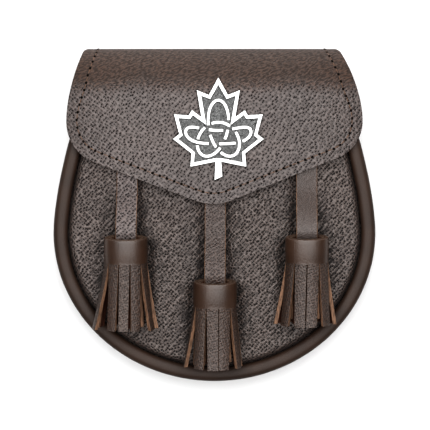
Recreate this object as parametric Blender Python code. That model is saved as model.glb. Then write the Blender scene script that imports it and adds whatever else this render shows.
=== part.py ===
"""Sporran pouch lying on its back: a leather pouch with flap, cast leaf badge and three strap tassels.

Metres, +Z up. The front faces +Z, and the back rests on z = 0. As one looks at the front, +X is to the right
and +Y towards the flap's fold.
"""
import math

import bmesh
import bpy
from mathutils import Vector

GAP = 0.0003                 # clearance between pieces that touch
FINE = 400                   # short steps of a curve before it is cut into equal lengths
SHARP = math.radians(35)     # edges turned by more than this are shaded sharp
LEATHER = 0.0020             # wall of the panels and the gusset

# Pouch outline, measured at the outer side of the edge roll
POUCH_HALF_WIDTH = 0.092
WIDEST_Y = -0.010            # height on the pouch where it is widest
POUCH_DROP = 0.085           # from the widest line down to the lowest point
MOUTH_RISE = 0.087           # from the widest line up to the mouth
MOUTH_NARROWING = 0.0200     # how much each side comes in at the mouth
NARROWING_POWER = 1.6
MOUTH_Y = WIDEST_Y + MOUTH_RISE
OUTLINE_STEPS = 48

# Edge roll and gusset
ROLL_RADIUS = 0.00415
ROLL_SIDES = 10
ROLL_Z = 0.0280              # middle of the roll above the floor
GUSSET_INSET = 0.0025        # gusset's outer face behind the roll's outer side
FRONT_FLANGE = 0.0110        # gusset leather turned in under the front panel
BACK_FLANGE = 0.0090         # gusset leather turned in on the back panel
FRONT_BEND = 0.0017
BACK_BEND = 0.0019
FLANGE_FACE_Z = ROLL_Z - ROLL_RADIUS - GAP

# Front panel: rim turned down to the flange, a rounded shoulder, then a low crown
PANEL_INSET = 2 * ROLL_RADIUS + GAP
PANEL_RIM_Z = FLANGE_FACE_Z + GAP
SHOULDER_WIDTH = 0.0050
SHOULDER_RISE = 0.00975
SHOULDER_POWER = 2.8
CROWN = 0.0046
SHOULDER_RINGS = (0.0, 0.015, 0.06, 0.15, 0.32, 0.6, 1.0)    # shares of the shoulder's width
CROWN_RINGS = (0.22, 0.47, 0.73, 1.0)                        # shares of the way to the middle
CROWN_TOP_Z = PANEL_RIM_Z + SHOULDER_RISE + CROWN

# Back panel: flat rim on the floor, dished in the middle so that the strap carrier lies flush
BACK_INSET = 0.0009
DISH_DEPTH = 0.0068
DISH_START = 0.0130          # inset where the dish begins
DISH_WIDTH = 0.0220          # inset over which it deepens
DISH_RINGS = (0.0, 0.2, 0.5, 0.8, 1.0)

# Flap
FLAP_THICK = 0.0022
FLAP_HALF_WIDTH = 0.0845
FLAP_WIDEST_Y = 0.054
FLAP_TOP_Y = 0.095
FLAP_NARROWING = 0.0119      # how much each side comes in at the top of the fold
FLAP_SIDE_POWER = 1.75
FLAP_CORNER = 0.0238         # radius of the lower corners
FLAP_TIP_Y = 0.0062
FLAP_TIP_RADIUS = 0.0285
FLAP_EDGE_SLOPE = 0.39       # rise of the lower edges from the tip outwards
FLAP_LEAN = -0.0017          # how far the top of the flap stands to the side
FLAP_TILT = 0.026            # how much higher the flap's right lower edge hangs, per metre across
FOLD_REACH = 0.018           # how far the fold stands past the mouth
TAIL_LENGTH = 0.017          # flap leather that lies on the back panel below the fold
FOLD_CORNER = 0.0022         # rounding of the flap's upper corners
TAIL_NARROWING = 0.0010
FLAP_ARCH_POWER = 3.6
FLAP_COLUMNS = 22
TAIL_ROWS = 2
FOLD_ROWS = 10
FRONT_ROWS = 9
FOLD_Y = FLAP_TOP_Y - FOLD_REACH
TAIL_Y = FOLD_Y - TAIL_LENGTH
TAIL_LIFT = FLAP_THICK + GAP     # the back panel rises by this to let the tail lie under it
LIFT_START = 0.020               # below the tail's end, where the rise begins
LIFT_END = 0.008

# Straps and tassels
STRAP_WIDTH = 0.012
STRAP_THICK = 0.0018
STRAP_GAP = 0.00035
STRAP_TUCK = 0.016           # strap hidden above the flap's lower edge
STRAP_LIFT = 0.030           # length over which a strap leaves the panel for its tassel
STRAP_TWIST = 6.0            # how far the cant grows where the strap hangs free
STRAP_HUMP = 0.002           # strap that goes on in line with the head above its rim
STRAP_GRIP = 0.009           # strap held inside the tassel's head
STRAP_ROWS = 14
HEAD_HALF_WIDTH = 0.01225
HEAD_HALF_DEPTH = 0.0085
HEAD_LENGTH = 0.0141
HEAD_WALL = 0.0040           # two turns of leather
HEAD_RIM = 0.0007            # rounding of the head's upper rim
HEAD_TILT = math.radians(14)
STRIP_THICK = 0.0022
STRIP_SLIT = 0.0004
STRIP_ROWS = 4
STRIP_SPREAD = 0.60          # how far the strips fan out sideways, as a share of the head
STRIP_SPREAD_POWER = 1.2
STRIP_FLARE_POWER = 3.0      # above 0 the outer strips spread more than the middle ones
STRIP_SWELL = 0.12           # and towards the front
STRIP_SETTLE = 0.0030        # how far the bundle sinks to the panel below its head
TASSEL_CLEARANCE = 0.0005
HEAD_DENT = 0.0012           # how deep each head presses the front panel
HEAD_DENT_RADIUS = 0.014

# name: middle of the head as a share of the pouch's half width, front rim of the head, length seen from the
# front, sideways lean of the strips, the strap's offset to the side, how much higher its right edge lies,
# number of strips, how far they are turned round the head as a share of one strip, how wide they fan out
TASSELS = {
    "left": {
        "across": -0.547, "top": -0.0149, "length": 0.0517, "lean": -0.0003,
        "off": 0.0006, "cant": 0.0012, "strips": 10, "turn": -0.12, "flare": 1.05,
    },
    "centre": {
        "across": 0.003, "top": -0.0399, "length": 0.0487, "lean": -0.0003,
        "off": 0.0002, "cant": 0.0, "strips": 9, "turn": -0.20, "flare": 0.72,
    },
    "right": {
        "across": 0.571, "top": -0.0146, "length": 0.0497, "lean": -0.0005,
        "off": 0.0, "cant": -0.0012, "strips": 9, "turn": -0.50, "flare": 0.80,
    },
}

# Strap carrier on the back
CARRIER_HALF_LENGTH = 0.040
CARRIER_Y = 0.030
CARRIER_THICK = 0.0018
CARRIER_FLAT = 0.030         # flat stretch across the band
CARRIER_RAMP = 0.005
CARRIER_FLANGE = 0.007

# Closure stud between flap and front
STUD_RADIUS = 0.0065
STUD_Y = 0.041
STUD_SIDES = 24

# Badge
BADGE_X = 0.0022
BADGE_Y = 0.0489
LEAF_HALF_WIDTH = 0.0263
LEAF_HALF_HEIGHT = 0.0295
BADGE_PLATE = 0.0013         # floor of the sunk ground above the badge's back
BADGE_THICK = 0.0023
BADGE_RIM = 0.0023
KNOT_WIDTH = 0.0021
KNOT_RISE = 0.0009           # height of the interlace above the ground
KNOT_GAP = 0.0006            # break in a band that passes under another
KNOT_STEP = 0.0016
STRAND_POINTS = 180
# Corners of a band's section: share of its half width, height above the ground, into which its foot sinks
KNOT_SECTION = ((-1.0, -KNOT_RISE / 3), (1.0, -KNOT_RISE / 3), (0.6, KNOT_RISE), (-0.6, KNOT_RISE))
KNOT_HALF_WIDTH = LEAF_HALF_WIDTH * 0.50     # three-lobed strand
KNOT_HEIGHT = LEAF_HALF_HEIGHT * 0.64
KNOT_MIDDLE_Y = LEAF_HALF_HEIGHT * -0.09
RING_HALF_WIDTH = LEAF_HALF_WIDTH * 0.707    # ring woven through it
RING_WAIST = LEAF_HALF_HEIGHT * 0.129
RING_MIDDLE_Y = LEAF_HALF_HEIGHT * -0.163
RING_LIFT = LEAF_HALF_HEIGHT * 0.102
POST_RADIUS = 0.0012
POST_HOLE_RADIUS = 0.0015
POST_SPACING = 0.028
POST_SIDES = 16
POST_END = 0.0005            # post below the flap's inner face

# Right half of the leaf from its top tip to its stem, as shares of the half width and half height
LEAF = (
    ("top tip", 0.000, 1.000),
    ("top notch", 0.211, 0.656),
    ("upper tip", 0.475, 0.751),
    ("deep notch", 0.373, 0.235),
    ("small tip", 0.576, 0.369),
    ("small notch", 0.646, 0.261),
    ("side tip", 0.970, 0.283),
    ("side notch", 0.854, -0.102),
    ("lower side tip", 1.000, -0.197),
    ("lower notch", 0.589, -0.478),
    ("bottom tip", 0.616, -0.742),
    ("stem root", 0.070, -0.641),
)
STEM_END = ((0.099, -0.922), (-0.091, -1.000))


def ease(t):
    """Smooth step from 0 to 1."""
    t = min(max(t, 0.0), 1.0)
    return t * t * (3 - 2 * t)


def resample(points, steps):
    """Points at equal distances along a polyline, both ends included."""
    lengths = [0.0]
    for a, b in zip(points, points[1:]):
        lengths.append(lengths[-1] + (b - a).length)
    result = []
    k = 0
    for i in range(steps + 1):
        target = lengths[-1] * i / steps
        while k < len(points) - 2 and lengths[k + 1] < target:
            k += 1
        share = (target - lengths[k]) / (lengths[k + 1] - lengths[k])
        result.append(points[k].lerp(points[k + 1], share))
    return result


def arc(centre, radius, start, end, steps):
    """Points on an arc, angles in radians, both ends included."""
    angles = [start + (end - start) * i / steps for i in range(steps + 1)]
    return [Vector((centre[0] + radius * math.cos(a), centre[1] + radius * math.sin(a))) for a in angles]


def spoke(x, y):
    """The outline's point on the spoke through (x, y), the outward normal there and the spoke's inner end."""
    side = 1.0 if x >= 0 else -1.0
    if y >= WIDEST_Y:
        share = (y - WIDEST_Y) / MOUTH_RISE
        half = POUCH_HALF_WIDTH - MOUTH_NARROWING * share ** NARROWING_POWER
        slope = MOUTH_NARROWING / MOUTH_RISE * NARROWING_POWER * share ** (NARROWING_POWER - 1)
        return Vector((side * half, y)), Vector((side, slope)).normalized(), Vector((0.0, y))
    reach = math.hypot(x / POUCH_HALF_WIDTH, (y - WIDEST_Y) / POUCH_DROP)
    edge = Vector((x / reach, WIDEST_Y + (y - WIDEST_Y) / reach))
    normal = Vector((edge.x / POUCH_HALF_WIDTH ** 2, (edge.y - WIDEST_Y) / POUCH_DROP ** 2)).normalized()
    return edge, normal, Vector((0.0, WIDEST_Y))


def depth_of_spoke(x, y):
    """How far (x, y) lies inside the outline, and how far the spoke's inner end does."""
    edge, normal, hub = spoke(x, y)
    lean = (edge - hub).normalized().dot(normal)
    return (edge - Vector((x, y))).dot((edge - hub).normalized()) * lean, (edge - hub).length * lean


def on_spoke(point, inset):
    """The point of a spoke that lies this far inside the outline."""
    edge, normal, hub = spoke(point.x, point.y)
    lean = (edge - hub).normalized().dot(normal)
    return edge.lerp(hub, min(inset / ((edge - hub).length * lean), 1.0))


def outline():
    """Equally spaced points from the right mouth corner round the bottom to the left mouth corner."""
    side = [spoke(1.0, MOUTH_Y - MOUTH_RISE * i / FINE)[0] for i in range(FINE + 1)]
    round_bottom = [
        Vector((POUCH_HALF_WIDTH * math.cos(a), WIDEST_Y - POUCH_DROP * math.sin(a)))
        for a in (math.pi / 2 * i / FINE for i in range(1, FINE + 1))
    ]
    right = resample(side + round_bottom, OUTLINE_STEPS // 2)
    right[-1].x = 0.0
    return right + [Vector((-p.x, p.y)) for p in reversed(right[:-1])]


def tassel_x(row):
    """Middle of a tassel's head."""
    return row["across"] * POUCH_HALF_WIDTH


def dents(x, y):
    """How deep the tassels' heads press the front panel here."""
    total = 0.0
    for row in TASSELS.values():
        middle = row["top"] - HEAD_LENGTH / 2
        total += HEAD_DENT * math.exp(-((x - tassel_x(row)) ** 2 + (y - middle) ** 2) / HEAD_DENT_RADIUS ** 2)
    return total


def front_height(x, y):
    """Height of the front panel's outer face."""
    inset, length = depth_of_spoke(x, y)
    shoulder_end = PANEL_INSET + SHOULDER_WIDTH
    t = min(max((inset - PANEL_INSET) / SHOULDER_WIDTH, 0.0), 1.0)
    rise = (1 - (1 - t) ** SHOULDER_POWER) ** (1 / SHOULDER_POWER)
    k = min(max((inset - shoulder_end) / (length - shoulder_end), 0.0), 1.0)
    return PANEL_RIM_Z + SHOULDER_RISE * rise + CROWN * (1 - (1 - k) ** 2) - dents(x, y) * rise


def ground_height(x, y):
    """Height of what a tassel or strap lies on: the front panel or the roll round it."""
    return max(front_height(x, y), ROLL_Z + ROLL_RADIUS)


def back_lift(y):
    """How far the back panel's rim rises to make room for the flap's tail."""
    return TAIL_LIFT * ease((y - TAIL_Y + LIFT_START) / (LIFT_START - LIFT_END))


def back_height(x, y):
    """Height of the back panel's outer face."""
    dish = ease((depth_of_spoke(x, y)[0] - DISH_START) / DISH_WIDTH)
    return DISH_DEPTH * dish + back_lift(y) * (1 - dish)


def flap_height(x):
    """Height of the flap's outer face over the front: an arch from roll to roll."""
    side = ROLL_Z + ROLL_RADIUS + GAP + FLAP_THICK
    middle = CROWN_TOP_Z + STRAP_GAP + STRAP_THICK + 2 * GAP + FLAP_THICK
    return side + (middle - side) * (1 - min(abs(x) / FLAP_HALF_WIDTH, 1.0) ** FLAP_ARCH_POWER)


def flap_side(y):
    """Half width of the flap above its widest line, up to its rounded corners at the top of the fold."""
    share = max(y - FLAP_WIDEST_Y, 0.0) / (FLAP_TOP_Y - FLAP_WIDEST_Y)
    past = max(y - FLAP_TOP_Y + FOLD_CORNER, 0.0)
    corner = FOLD_CORNER - math.sqrt(FOLD_CORNER ** 2 - past ** 2)
    return FLAP_HALF_WIDTH - FLAP_NARROWING * share ** FLAP_SIDE_POWER - corner


def settled(point):
    """Where a point of the flap's even plan lies on the real flap, which leans and hangs a little askew."""
    up = max(point.y - FLAP_WIDEST_Y, 0.0) / (FLAP_TOP_Y - FLAP_WIDEST_Y)
    down = max(FLAP_WIDEST_Y - point.y, 0.0) / (FLAP_WIDEST_Y - FLAP_TIP_Y)
    return Vector((point.x + FLAP_LEAN * up ** 2, point.y + FLAP_TILT * point.x * down))


def flap_edges():
    """The flap's right side and right lower edge, which meet halfway round its lower corner."""
    lean = math.atan(FLAP_EDGE_SLOPE)
    line_y = FLAP_TIP_Y - FLAP_TIP_RADIUS * (1 / math.cos(lean) - 1)
    corner_x = FLAP_HALF_WIDTH - FLAP_CORNER
    corner = (corner_x, line_y + FLAP_EDGE_SLOPE * corner_x + FLAP_CORNER / math.cos(lean))
    turn = lean - math.pi / 2
    tip = (0.0, FLAP_TIP_Y + FLAP_TIP_RADIUS)
    side = [
        Vector((flap_side(y), y))
        for y in (FOLD_Y + (FLAP_WIDEST_Y - FOLD_Y) * i / FINE for i in range(FINE + 1))
    ]
    side += arc(corner, FLAP_CORNER, 0.0, turn / 2, FINE)
    lower = arc(corner, FLAP_CORNER, turn / 2, turn, FINE)
    lower += arc(tip, FLAP_TIP_RADIUS, turn, -math.pi / 2, FINE)
    return side, lower


def flap_lower_y(x):
    """Height on the pouch of the flap's lower edge, away from its corners."""
    line_y = FLAP_TIP_Y - FLAP_TIP_RADIUS * (1 / math.cos(math.atan(FLAP_EDGE_SLOPE)) - 1)
    return max(FLAP_TIP_Y, line_y + FLAP_EDGE_SLOPE * abs(x))


def spread(x):
    """How far a strip's foot stands out to the side of its root at this distance from the middle."""
    return x * STRIP_SPREAD * (abs(x) / HEAD_HALF_WIDTH) ** STRIP_FLARE_POWER


def tassel_axis_y(row):
    """Where a tassel's middle line starts: its tilted head shows its front rim this much lower."""
    return row["top"] + HEAD_HALF_DEPTH * math.sin(HEAD_TILT)


def tassel_axis_z(row, along):
    """Height of a tassel's middle line at this distance below the top of its head."""
    head_foot = tassel_axis_y(row) - HEAD_LENGTH * math.cos(HEAD_TILT)
    seat = ground_height(tassel_x(row), head_foot) + TASSEL_CLEARANCE + HEAD_HALF_DEPTH
    if along <= HEAD_LENGTH:
        return seat + (HEAD_LENGTH - along) * math.sin(HEAD_TILT)
    share = (along - HEAD_LENGTH) / (row["length"] - HEAD_LENGTH)
    return seat - STRIP_SETTLE * math.sin(share * math.pi / 2)


def strap_seat():
    """How far behind the head's middle line a strap's lower face lies, clear of the round hole."""
    across = HEAD_HALF_WIDTH - HEAD_WALL
    deep = HEAD_HALF_DEPTH - HEAD_WALL
    return deep * math.sqrt(1 - (STRAP_WIDTH / 2 / across) ** 2) - TASSEL_CLEARANCE


def material(name, colour, roughness, metallic=0.0):
    """A plain Principled material."""
    mat = bpy.data.materials.get(name) or bpy.data.materials.new(name)
    mat.use_nodes = True
    shader = mat.node_tree.nodes["Principled BSDF"]
    shader.inputs["Base Color"].default_value = (*colour, 1.0)
    shader.inputs["Roughness"].default_value = roughness
    shader.inputs["Metallic"].default_value = metallic
    return mat


def finish(name, bm, mat):
    """Turn a bmesh into a smooth-shaded object with one material."""
    bmesh.ops.remove_doubles(bm, verts=bm.verts, dist=1e-6)
    bmesh.ops.recalc_face_normals(bm, faces=bm.faces)
    mesh = bpy.data.meshes.new(name)
    bm.to_mesh(mesh)
    bm.free()
    mesh.shade_smooth()
    mesh.set_sharp_from_angle(angle=SHARP)
    mesh.materials.append(mat)
    obj = bpy.data.objects.new(name, mesh)
    bpy.context.scene.collection.objects.link(obj)
    return obj


def make_cutter(obj):
    """Mark an object as one that only shapes another."""
    obj.hide_render = True
    obj.display_type = "WIRE"
    return obj


def add_boolean(obj, other, operation):
    """Cut or join another object by an exact Boolean."""
    modifier = obj.modifiers.new(operation.title(), "BOOLEAN")
    modifier.operation = operation
    modifier.solver = "EXACT"
    modifier.object = other


def add_shell(bm, outer, inner, open_columns=False):
    """A wall between two grids of points. open_columns leaves out the last column's edge, which meets
    itself."""
    faces = [[bm.verts.new(p) for p in row] for row in outer]
    backs = [[bm.verts.new(p) for p in row] for row in inner]
    last_row = len(faces) - 1
    last_column = len(faces[0]) - 1
    for i in range(last_row):
        for j in range(last_column):
            bm.faces.new((faces[i][j], faces[i + 1][j], faces[i + 1][j + 1], faces[i][j + 1]))
            bm.faces.new((backs[i][j], backs[i][j + 1], backs[i + 1][j + 1], backs[i + 1][j]))
    for i in (0, last_row):
        for j in range(last_column):
            bm.faces.new((faces[i][j], faces[i][j + 1], backs[i][j + 1], backs[i][j]))
    for j in (0,) if open_columns else (0, last_column):
        for i in range(last_row):
            bm.faces.new((faces[i][j], faces[i + 1][j], backs[i + 1][j], backs[i][j]))


def add_sweep(bm, rings):
    """A closed solid through rings of points, with its two ends filled."""
    loops = [[bm.verts.new(p) for p in ring] for ring in rings]
    count = len(loops[0])
    for a, b in zip(loops, loops[1:]):
        for i in range(count):
            bm.faces.new((a[i], a[(i + 1) % count], b[(i + 1) % count], b[i]))
    bm.faces.new(loops[0])
    bm.faces.new(loops[-1])


def wall_section(path, thickness):
    """A closed outline that lies half the thickness to each side of a path."""
    left, right = [], []
    for i, point in enumerate(path):
        before = (point - path[i - 1]).normalized() if i else (path[1] - point).normalized()
        after = (path[i + 1] - point).normalized() if i < len(path) - 1 else before
        mitre = (before + after).normalized()
        reach = thickness / 2 / mitre.dot(before)
        offset = Vector((-mitre.y, mitre.x)) * reach
        left.append(point + offset)
        right.append(point - offset)
    return left + right[::-1]


def build_front_panel(mat):
    """Crowned front wall with its rim turned down to the gusset's flange."""
    shoulder_end = PANEL_INSET + SHOULDER_WIDTH
    outer, inner = [], []
    for point in outline():
        length = depth_of_spoke(point.x, point.y)[1]
        outer_row, inner_row = [], []
        for t in SHOULDER_RINGS:
            p = on_spoke(point, PANEL_INSET + SHOULDER_WIDTH * t)
            q = on_spoke(point, PANEL_INSET + LEATHER + (SHOULDER_WIDTH - LEATHER) * t)
            rise = (1 - (1 - t) ** SHOULDER_POWER) ** (1 / SHOULDER_POWER)
            outer_row.append((p.x, p.y, PANEL_RIM_Z + (SHOULDER_RISE - dents(p.x, p.y)) * rise))
            inner_row.append((q.x, q.y, PANEL_RIM_Z + (SHOULDER_RISE - LEATHER - dents(q.x, q.y)) * rise))
        for k in CROWN_RINGS:
            p = on_spoke(point, shoulder_end + (length - shoulder_end) * k)
            outer_row.append((p.x, p.y, front_height(p.x, p.y)))
            inner_row.append((p.x, p.y, front_height(p.x, p.y) - LEATHER))
        outer.append(outer_row)
        inner.append(inner_row)
    bm = bmesh.new()
    add_shell(bm, outer, inner, open_columns=True)
    return finish("front_panel", bm, mat)


def build_back_panel(mat):
    """Back wall: flat rim on the floor, dished middle."""
    insets = [BACK_INSET] + [DISH_START + DISH_WIDTH * t for t in DISH_RINGS]
    outer, inner = [], []
    for point in outline():
        row = [on_spoke(point, inset) for inset in insets] + [spoke(point.x, point.y)[2]]
        outer.append([(p.x, p.y, back_height(p.x, p.y)) for p in row])
        inner.append([(p.x, p.y, back_height(p.x, p.y) + LEATHER) for p in row])
    bm = bmesh.new()
    add_shell(bm, outer, inner, open_columns=True)
    return finish("back_panel", bm, mat)


def build_gusset(mat):
    """Side wall round the U, with a flange turned in at the back and one under the front panel."""
    middle = GUSSET_INSET + LEATHER / 2
    front = FLANGE_FACE_Z - LEATHER / 2
    rings = []
    for point in outline():
        normal = spoke(point.x, point.y)[1]
        back = back_lift(point.y) + LEATHER + GAP + LEATHER / 2
        path = [Vector((GUSSET_INSET + BACK_FLANGE, back))]
        path += arc((middle + BACK_BEND, back + BACK_BEND), BACK_BEND, -math.pi / 2, -math.pi, 2)
        path += arc((middle + FRONT_BEND, front - FRONT_BEND), FRONT_BEND, math.pi, math.pi / 2, 2)
        path.append(Vector((GUSSET_INSET + FRONT_FLANGE, front)))
        section = wall_section(path, LEATHER)
        rings.append([(point.x - normal.x * p.x, point.y - normal.y * p.x, p.y) for p in section])
    bm = bmesh.new()
    add_sweep(bm, rings)
    return finish("gusset", bm, mat)


def build_roll(mat):
    """Smooth leather roll round the front panel's edge."""
    circle = arc((ROLL_RADIUS, ROLL_Z), ROLL_RADIUS, 0.0, 2 * math.pi, ROLL_SIDES)[:-1]
    rings = []
    for point in outline():
        normal = spoke(point.x, point.y)[1]
        rings.append([(point.x - normal.x * p.x, point.y - normal.y * p.x, p.y) for p in circle])
    bm = bmesh.new()
    add_sweep(bm, rings)
    return finish("edge_roll", bm, mat)


def flap_rows():
    """Rows of points on the flap's outer face: tail on the floor, fold, then the front to the lower edge."""
    shares = [2 * j / FLAP_COLUMNS - 1 for j in range(FLAP_COLUMNS + 1)]
    tail_half = flap_side(FLAP_TOP_Y) - TAIL_NARROWING
    rows = []
    for i in range(TAIL_ROWS):
        y = TAIL_Y + (FOLD_Y - TAIL_Y) * i / TAIL_ROWS
        rows.append([Vector((c * tail_half + FLAP_LEAN, y, 0.0)) for c in shares])
    for i in range(FOLD_ROWS + 1):
        angle = math.pi * (i / FOLD_ROWS - 0.5)
        y = FOLD_Y + FOLD_REACH * math.cos(angle)
        half = flap_side(y)
        if angle < 0:
            half = flap_side(FLAP_TOP_Y) - TAIL_NARROWING * ease(-angle / (math.pi / 2))
        turn = (1 + math.sin(angle)) / 2
        lean = settled(Vector((0.0, y))).x if angle >= 0 else FLAP_LEAN
        rows.append([Vector((c * half + lean, y, flap_height(c * half) * turn)) for c in shares])
    side, lower = flap_edges()
    side = resample(side, FRONT_ROWS)
    lower = resample(lower[::-1], FLAP_COLUMNS // 2)
    lower = [Vector((-p.x, p.y)) for p in reversed(lower[1:])] + lower
    top = [Vector((c * side[0].x, side[0].y)) for c in shares]
    for i in range(1, FRONT_ROWS + 1):
        v = i / FRONT_ROWS
        row = []
        for j, c in enumerate(shares):
            u = (c + 1) / 2
            left = Vector((-side[i].x, side[i].y))
            flat = top[j] * (1 - v) + lower[j] * v + left * (1 - u) + side[i] * u
            flat -= (top[0] * (1 - u) + top[-1] * u) * (1 - v) + (lower[0] * (1 - u) + lower[-1] * u) * v
            place = settled(flat)
            row.append(Vector((place.x, place.y, flap_height(flat.x))))
        rows.append(row)
    return rows


def grid_normals(rows):
    """Unit normals of a grid of points, from its neighbours."""
    last_i, last_j = len(rows) - 1, len(rows[0]) - 1
    result = []
    for i, row in enumerate(rows):
        line = []
        for j in range(last_j + 1):
            along = rows[min(i + 1, last_i)][j] - rows[max(i - 1, 0)][j]
            across = row[min(j + 1, last_j)] - row[max(j - 1, 0)]
            line.append(across.cross(along).normalized())
        result.append(line)
    return result


def build_flap(mat):
    """The flap in one piece, with two holes for the badge's posts."""
    outer = flap_rows()
    normals = grid_normals(outer)
    inner = [[p + n * FLAP_THICK for p, n in zip(row, line)] for row, line in zip(outer, normals)]
    bm = bmesh.new()
    add_shell(bm, outer, inner)
    flap = finish("flap", bm, mat)
    add_boolean(flap, make_posts("post_holes", POST_HOLE_RADIUS, FLAP_THICK), "DIFFERENCE")
    return flap


def make_posts(name, radius, past):
    """Two upright round posts where the badge is fastened, from its plate down past the flap's inner face."""
    top = flap_height(BADGE_X) + GAP + BADGE_PLATE / 2
    bottom = flap_height(BADGE_X) - FLAP_THICK - past
    bm = bmesh.new()
    for side in (-1, 1):
        ring = arc((BADGE_X + side * POST_SPACING / 2, BADGE_Y), radius, 0.0, 2 * math.pi, POST_SIDES)[:-1]
        add_sweep(bm, [[(p.x, p.y, z) for p in ring] for z in (bottom, top)])
    return make_cutter(finish(name, bm, material("pewter", (0.62, 0.62, 0.61), 0.35, 1.0)))


def leaf_outline(with_stem):
    """The leaf's corners, clockwise from its top tip, about the badge's middle."""
    right = [Vector((x * LEAF_HALF_WIDTH, y * LEAF_HALF_HEIGHT)) for _, x, y in LEAF]
    left = [Vector((-p.x, p.y)) for p in reversed(right[1:])]
    stem = [Vector((x * LEAF_HALF_WIDTH, y * LEAF_HALF_HEIGHT)) for x, y in STEM_END]
    return right + (stem if with_stem else []) + left


def shrink(points, distance):
    """A clockwise closed outline moved inwards by a distance, its corners mitred."""
    result = []
    for i, point in enumerate(points):
        before = (point - points[i - 1]).normalized()
        after = (points[(i + 1) % len(points)] - point).normalized()
        mitre = (before + after).normalized()
        reach = distance / mitre.dot(before)
        result.append(point + Vector((mitre.y, -mitre.x)) * reach)
    return result


def knot_strands():
    """Two closed strands: a three-lobed knot and a wide ring woven through it, which loops in both side
    lobes."""
    angles = [2 * math.pi * i / STRAND_POINTS for i in range(STRAND_POINTS)]
    lobes = [
        Vector((
            KNOT_HALF_WIDTH * (math.sin(a) + 2 * math.sin(2 * a)) / 3,
            KNOT_HEIGHT * (2 * math.cos(2 * a) - math.cos(a)) / 3 + KNOT_MIDDLE_Y,
        ))
        for a in angles
    ]
    ring = [
        Vector((
            RING_HALF_WIDTH * math.cos(a),
            RING_MIDDLE_Y + RING_WAIST * math.sin(a) * (1 + math.cos(a) ** 2) + RING_LIFT * math.cos(a) ** 2,
        ))
        for a in angles
    ]
    return [lobes, ring]


def strand_crossings(strands):
    """For each strand its crossings in order: place along it, whether it passes over, sine of the angle."""
    segments = [
        (s, i, strand[i], strand[(i + 1) % len(strand)])
        for s, strand in enumerate(strands)
        for i in range(len(strand))
    ]
    meets = []
    for a, (sa, ia, p, q) in enumerate(segments):
        for sb, ib, r, s in segments[a + 2:]:
            if sa == sb and ib - ia == len(strands[sa]) - 1:
                continue
            u, v, w = q - p, s - r, r - p
            cross = u.cross(v)
            if abs(cross) < 1e-14:
                continue
            t, k = w.cross(v) / cross, w.cross(u) / cross
            if 0 <= t < 1 and 0 <= k < 1:
                sine = abs(cross) / u.length / v.length
                meets.append(((sa, ia + t), (sb, ib + k), sine))
    visits = [[] for _ in strands]
    for m, (first, second, sine) in enumerate(meets):
        visits[first[0]].append((first[1], m, 0, sine))
        visits[second[0]].append((second[1], m, 1, sine))
    upper = {}
    result = []
    for visit in visits:
        visit.sort()
        over_first = True
        for n, (_, m, end, _) in enumerate(visit):
            if m in upper:
                over_first = (upper[m] == end) == (n % 2 == 0)
                break
        row = []
        for n, (place, m, end, sine) in enumerate(visit):
            over = over_first == (n % 2 == 0)
            upper[m] = end if over else 1 - end
            row.append((place, over, sine))
        result.append(row)
    return result


def knot_bands():
    """Middle lines of the raised bands: each strand broken where it passes under."""
    strands = knot_strands()
    bands = []
    for strand, crossings in zip(strands, strand_crossings(strands)):
        count = len(strand)
        step = sum((strand[i] - strand[i - 1]).length for i in range(count)) / count
        unders = [(place, sine) for place, over, sine in crossings if not over]
        for i, (place, sine) in enumerate(unders):
            next_place, next_sine = unders[(i + 1) % len(unders)]
            if i == len(unders) - 1:
                next_place += count
            start = place + (KNOT_WIDTH / 2 * (2 - sine) + KNOT_GAP) / sine / step
            end = next_place - (KNOT_WIDTH / 2 * (2 - next_sine) + KNOT_GAP) / next_sine / step
            line = []
            for n in range(int(end - start) + 1):
                at = start + n
                low = int(at) % count
                line.append(strand[low].lerp(strand[(low + 1) % count], at - int(at)))
            length = sum((b - a).length for a, b in zip(line, line[1:]))
            bands.append(resample(line, max(2, round(length / KNOT_STEP))))
    return bands


def build_badge(mat):
    """Cast leaf: plate with raised rim, sunk ground with raised interlace, and two posts."""
    base = flap_height(BADGE_X) + GAP
    place = Vector((BADGE_X, BADGE_Y))
    ground = base + BADGE_PLATE
    bm = bmesh.new()
    leaf = [p + place for p in leaf_outline(with_stem=True)]
    add_sweep(bm, [[(p.x, p.y, z) for p in leaf] for z in (base, base + BADGE_THICK)])
    badge = finish("leaf_badge", bm, mat)
    bm = bmesh.new()
    sunk = [p + place for p in shrink(leaf_outline(with_stem=False), BADGE_RIM)]
    add_sweep(bm, [[(p.x, p.y, z) for p in sunk] for z in (ground, base + 2 * BADGE_THICK)])
    add_boolean(badge, make_cutter(finish("badge_recess", bm, mat)), "DIFFERENCE")
    bm = bmesh.new()
    for band in knot_bands():
        rings = []
        for i, point in enumerate(band):
            along = (band[min(i + 1, len(band) - 1)] - band[max(i - 1, 0)]).normalized()
            aside = Vector((-along.y, along.x)) * KNOT_WIDTH / 2
            corners = [(place + point + aside * share, ground + rise) for share, rise in KNOT_SECTION]
            rings.append([(p.x, p.y, z) for p, z in corners])
        add_sweep(bm, rings)
    add_boolean(badge, make_cutter(finish("badge_knot", bm, mat)), "UNION")
    add_boolean(badge, make_posts("badge_posts", POST_RADIUS, POST_END), "UNION")
    return badge


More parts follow.
